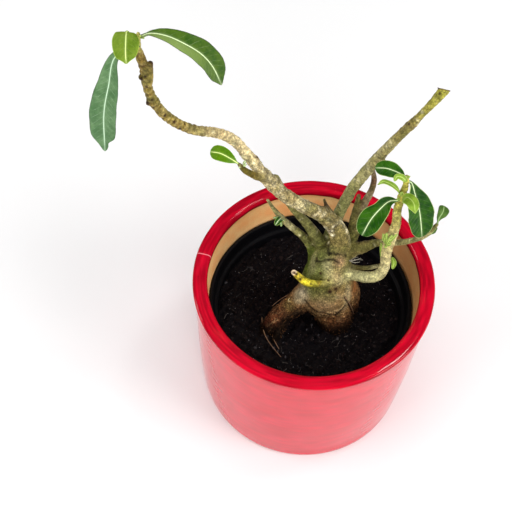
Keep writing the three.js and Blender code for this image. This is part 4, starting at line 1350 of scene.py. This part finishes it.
# Every leaf: its piece, the node it replaces, its colours and slot, its blade and the buds beside it
LEAVES = [
    ("leaf_hanging", "leaf_tip_hanging", "dull", "leaf_dull", [dict(
        path=[
            (-85.5, 22, 269), (-95.5, 17, 267), (-99.6, 11.5, 253.5), (-102.5, 6.5, 241),
            (-103.6, 0.2, 221),
        ],
        width=13.4, left=0.9, widest=0.67, end_power=2.6, fold=0.12, face=(-0.1, -0.6, 0.75),
        notch=(-1, 0.92, 0.03, 0.42), wave=0.3, point=0.5,
    )]),
    ("leaf_facing", "leaf_tip_facing", "young", "leaf_young", [
        dict(
            path=[
                (-85.9, 23.6, 271), (-88.5, 24.6, 271.4), (-90.8, 25.4, 273.4), (-90.9, 23, 274.3),
                (-90.9, 19.8, 273), (-90.9, 16.3, 270.5), (-90.6, 12.9, 266.8),
            ],
            width=11.8, widest=0.36, fold=0.16, face=(0.1, -0.65, 0.75), start_power=0.3, end_power=1.9,
            stalk=0.34, point=0.5,
        ),
        bud((-85.5, 23.5, 272.5), (0.5, -0.4, 0.8), 2.4),
        bud((-85, 24, 272), (0.8, -0.5, 0.2), 2.2),
        bud((-86, 24, 272.5), (-0.4, -0.3, 0.8), 1.8),
    ]),
    ("leaf_arching", "leaf_tip_arching", "olive", "leaf_dark", [dict(
        path=[
            (-85, 25, 271), (-79, 19.5, 279), (-72, 15.8, 281.5), (-65, 13.8, 279.5), (-58.5, 13.8, 274),
            (-53.5, 14, 266), (-49.5, 13.5, 254.5),
        ],
        width=11.6, right=0.85, widest=0.7, fold=0.3, face=(0.3, -0.5, 0.8), start_power=1.6, end_power=2.1,
        # One half of this blade is lightened with painted light
        point=0.45, pale=0.85,
    )]),
    ("leaf_on_sprig", "leaf_sprig", "fresh", "leaf_young", [dict(
        path=[(-41.5, 9, 202.5), (-46, 9, 207), (-50.5, 10.5, 208.5), (-55.5, 12.5, 207)],
        width=7.4, widest=0.68, fold=0.2, face=(0, -0.6, 0.8), petiole=1.2,
    )]),
    ("buds_on_sprig", None, "deep", "leaf_dark", [
        bud((-40.2, 8.6, 200.8), (0.8, 0.1, 0.6), 3),
        bud((-40.8, 8.4, 201.6), (-0.3, -0.8, 0.4), 2),
        bud((-39.8, 9.2, 200.6), (0.5, 0.8, 0.6), 3.2),
    ]),
    ("leaf_back", "leaf_crown_back", "dark", "leaf_dark", [dict(
        path=[
            (42.4, 15.8, 184.6), (39.8, 16.4, 188.2), (37, 16.4, 190.2), (32.2, 17.2, 191.6),
            (26.7, 19.5, 188.8),
        ],
        width=8, widest=0.62, fold=0.2, face=(0, -0.55, 0.8), petiole=1.4,
    )]),
    ("leaf_beside", "leaf_crown_young", "light", "leaf_young", [
        small(
            [
                (42.8, 15.2, 184.5), (41.6, 12.6, 188.6), (39, 11.8, 192), (36.8, 11.4, 192.8),
                (35.6, 10.2, 190.6),
            ],
            3.2, 0.3, (-0.3, -0.4, 0.85), petiole=1.1,
        ),
        bud((42.5, 15, 187), (0.4, -0.3, 1), 3.6),
    ]),
    ("leaf_curled", "leaf_crown_curled", "light", "leaf_young", [small(
        [(41.5, 14.5, 171), (39, 14, 178), (34.5, 14, 183), (30.5, 14.5, 184), (28.5, 14, 182)],
        2.8, 0.5, (0.6, -0.4, 0.7), petiole=1.1,
    )]),
    ("leaf_left", "leaf_crown_left", "deep", "leaf_dark", [dict(
        path=[
            (41.2, 13.3, 169.8), (35.2, 9.8, 173.5), (30.7, 5.3, 173.5), (26.3, 1.1, 170),
            (22.3, -3.3, 161),
        ],
        width=12.4, widest=0.68, fold=0.14, face=(-0.15, -0.6, 0.75), start_power=1.3, end_power=2.0,
        notch=(1, 0.46, 0.1, 0.24), wave=0.5,
    )]),
    ("leaf_right", "leaf_crown_right", "deep", "leaf_dark", [dict(
        path=[
            (42.7, 15.8, 182), (45, 16.2, 182.2), (48.7, 14.3, 174), (52.4, 10.9, 163.5),
            (55.7, 5.2, 148.5),
        ],
        width=15, widest=0.62, fold=0.2, face=(0.25, -0.6, 0.7), wave=0.5,
    )]),
    ("leaf_front", "leaf_crown_front", "light", "leaf_young", [
        dict(
            path=[(42.2, 13.3, 171.5), (44.4, 9.3, 178), (46.6, 4.3, 180), (47.3, -0.6, 178.5)],
            width=7.2, left=0.78, right=1.25, widest=0.56, fold=0.22, face=(0.1, -0.55, 0.8), end_power=1.9,
            petiole=1.4, point=0.5,
        ),
        bud((41, 12, 172), (-0.5, -0.5, 0.9), 4.6),
        bud((42.5, 12, 172), (0.3, -0.6, 0.9), 4),
        bud((41.5, 13, 174), (-0.1, -0.1, 1), 5),
    ]),
    ("leaf_spoon", "leaf_right_spoon", "plain", "leaf_dull", [
        dict(
            path=[(63.5, 11.5, 150.5), (64.5, 13.5, 155), (66, 15.5, 157), (67, 19.5, 157)],
            width=6.2, widest=0.76, fold=0.15, face=(0.15, -0.6, 0.75), start_power=1.9, petiole=1.2,
        ),
        bud((61.2, 8.6, 146), (0.58, 0.58, 0.6), 5),
        bud((60.8, 8.7, 145.4), (0.7, 0.35, 0.55), 4),
    ]),
    ("leaf_small_low", "leaf_low", "light", "leaf_young", [
        small(
            [(42.3, 8.3, 116), (44, 9, 118.8), (44.8, 6.6, 118.8), (44.3, 4.2, 116)],
            3, 0.2, (0.3, -0.6, 0.7),
        ),
    ]),
    ("leaf_small_hanging", "leaf_right_hanging", "light", "leaf_young", [
        small(
            [(36.8, 13.4, 128.8), (36.5, 9.4, 130.8), (37, 6.5, 129.3), (37.4, 4.4, 125)],
            2.4, 0.3, (-0.2, -0.7, 0.6),
        ),
    ]),
    ("leaf_small_upright", "leaf_right_upright", "light", "leaf_young", [
        small(
            [(37, 13.4, 128.8), (38.2, 14.3, 132.2), (39.8, 15.2, 133.8), (41.6, 16, 134.4)],
            3, 0.3, (0, -0.6, 0.8),
        ),
        bud((36.5, 12.4, 128.8), (-0.2, -0.6, 0.9), 3),
        bud((37, 12.8, 129), (0.6, -0.3, 0.8), 3),
    ]),
    ("leaf_bud_left", "leaf_left_bud", "dark", "leaf_young", [
        small(
            [(-19, 21, 138.5), (-19.5, 18, 142), (-20.5, 16, 143), (-22, 14.5, 141)],
            3.6, 0.3, (0, -0.6, 0.8),
        ),
        bud((-19, 20, 138), (0.1, -0.9, -0.1), 3.8),
        bud((-20.5, 20.5, 140), (-0.9, -0.4, 0.3), 3.2),
        bud((-18, 20.5, 138), (0.3, -0.7, 0.6), 2.8),
    ]),
    ("leaflets_on_curled", None, "tender", "leaf_young", [leaflet(end) for end in LEAFLET_ENDS]),
]


def leaves():
    materials = {}
    for name, (*colours, veins, rib_width) in LEAF_COLOURS.items():
        linear = [srgb(*colour) for colour in colours]
        materials[name] = leaf_material("leaf_" + name, *linear, veins, rib_width)
    for name, node, look, slot, blades in LEAVES:
        made = [leaf_body(**blade) for blade in blades]
        values = {key: np.concatenate([each[1][key] for each in made]) for key in made[0][1]}
        body = joined([each[0] for each in made])
        piece(name, body, materials[look], slot, [node] if node else [], **values)


# The floor, the lights and the camera

# Lamps that look at the plant: their side, distance and size in metres, power, and whether they glint
LAMPS = {
    "key": ((0.75, -0.35, 0.65), 1.8, 0.7, 6, True),
    "left": ((-0.82, 0.2, 0.55), 1.6, 0.35, 2, True),
    "overhead": ((0.37, 0.13, 0.9), 1.6, 0.25, 2.8, True),
    "ceiling": ((-0.1, 0.08, 1), 2.4, 2.0, 30, False),
    "front": ((0.0, -1, 0.6), 2.4, 1.8, 29.5, False),
    "fill_left": ((-1, -0.45, 0.45), 2.0, 1.4, 20, False),
    "fill_right": ((1, -0.45, 0.42), 2.0, 1.4, 24, False),
}
LAMP_AIM = Vector((0, 0, 0.1))
FLOOR_HALF = 3000.0
AMBIENT = 0.03


def lamps():
    for name, (side, distance, size, power, glints) in LAMPS.items():
        light = bpy.data.lights.new(name, "AREA")
        light.shape = "SQUARE"
        light.size = size
        light.energy = power
        lamp = bpy.data.objects.new(name, light)
        place = Vector(side).normalized() * distance + LAMP_AIM
        turn = Vector(side).to_track_quat("Z", "Y").to_matrix().to_4x4()
        lamp.matrix_world = Matrix.Translation(place) @ turn
        lamp.visible_glossy = glints
        bpy.context.scene.collection.objects.link(lamp)


def studio():
    corners = np.array([(-1, -1, 0), (1, -1, 0), (1, 1, 0), (-1, 1, 0)]) * FLOOR_HALF
    floor = new_mesh("floor", corners, [(0, 1, 2, 3)])
    floor.data.materials.append(floor_material())
    lamps()
    world = bpy.data.worlds.new("studio")
    world.use_nodes = True
    background = world.node_tree.nodes["Background"]
    background.inputs["Color"].default_value = (1, 1, 1, 1)
    background.inputs["Strength"].default_value = AMBIENT
    bpy.context.scene.world = world
    bpy.context.scene.view_settings.view_transform = "Standard"


def camera():
    right, up, ahead = camera_axes()
    data = bpy.data.cameras.new("camera")
    data.sensor_fit = "HORIZONTAL"
    data.sensor_width = SENSOR
    data.lens = FOCAL_PIXELS / IMAGE_SIZE * SENSOR
    data.clip_start = 0.01
    thing = bpy.data.objects.new("camera", data)
    turn = Matrix((right, up, -ahead)).transposed().to_4x4()
    thing.matrix_world = Matrix.Translation(Vector(CAMERA_PLACE * MM)) @ turn
    bpy.context.scene.collection.objects.link(thing)
    bpy.context.scene.camera = thing


camera()
studio()
red_pot()
nursery_pot()
soil_block()
soil_crumbs()
root_hairs(plant())
leaves()
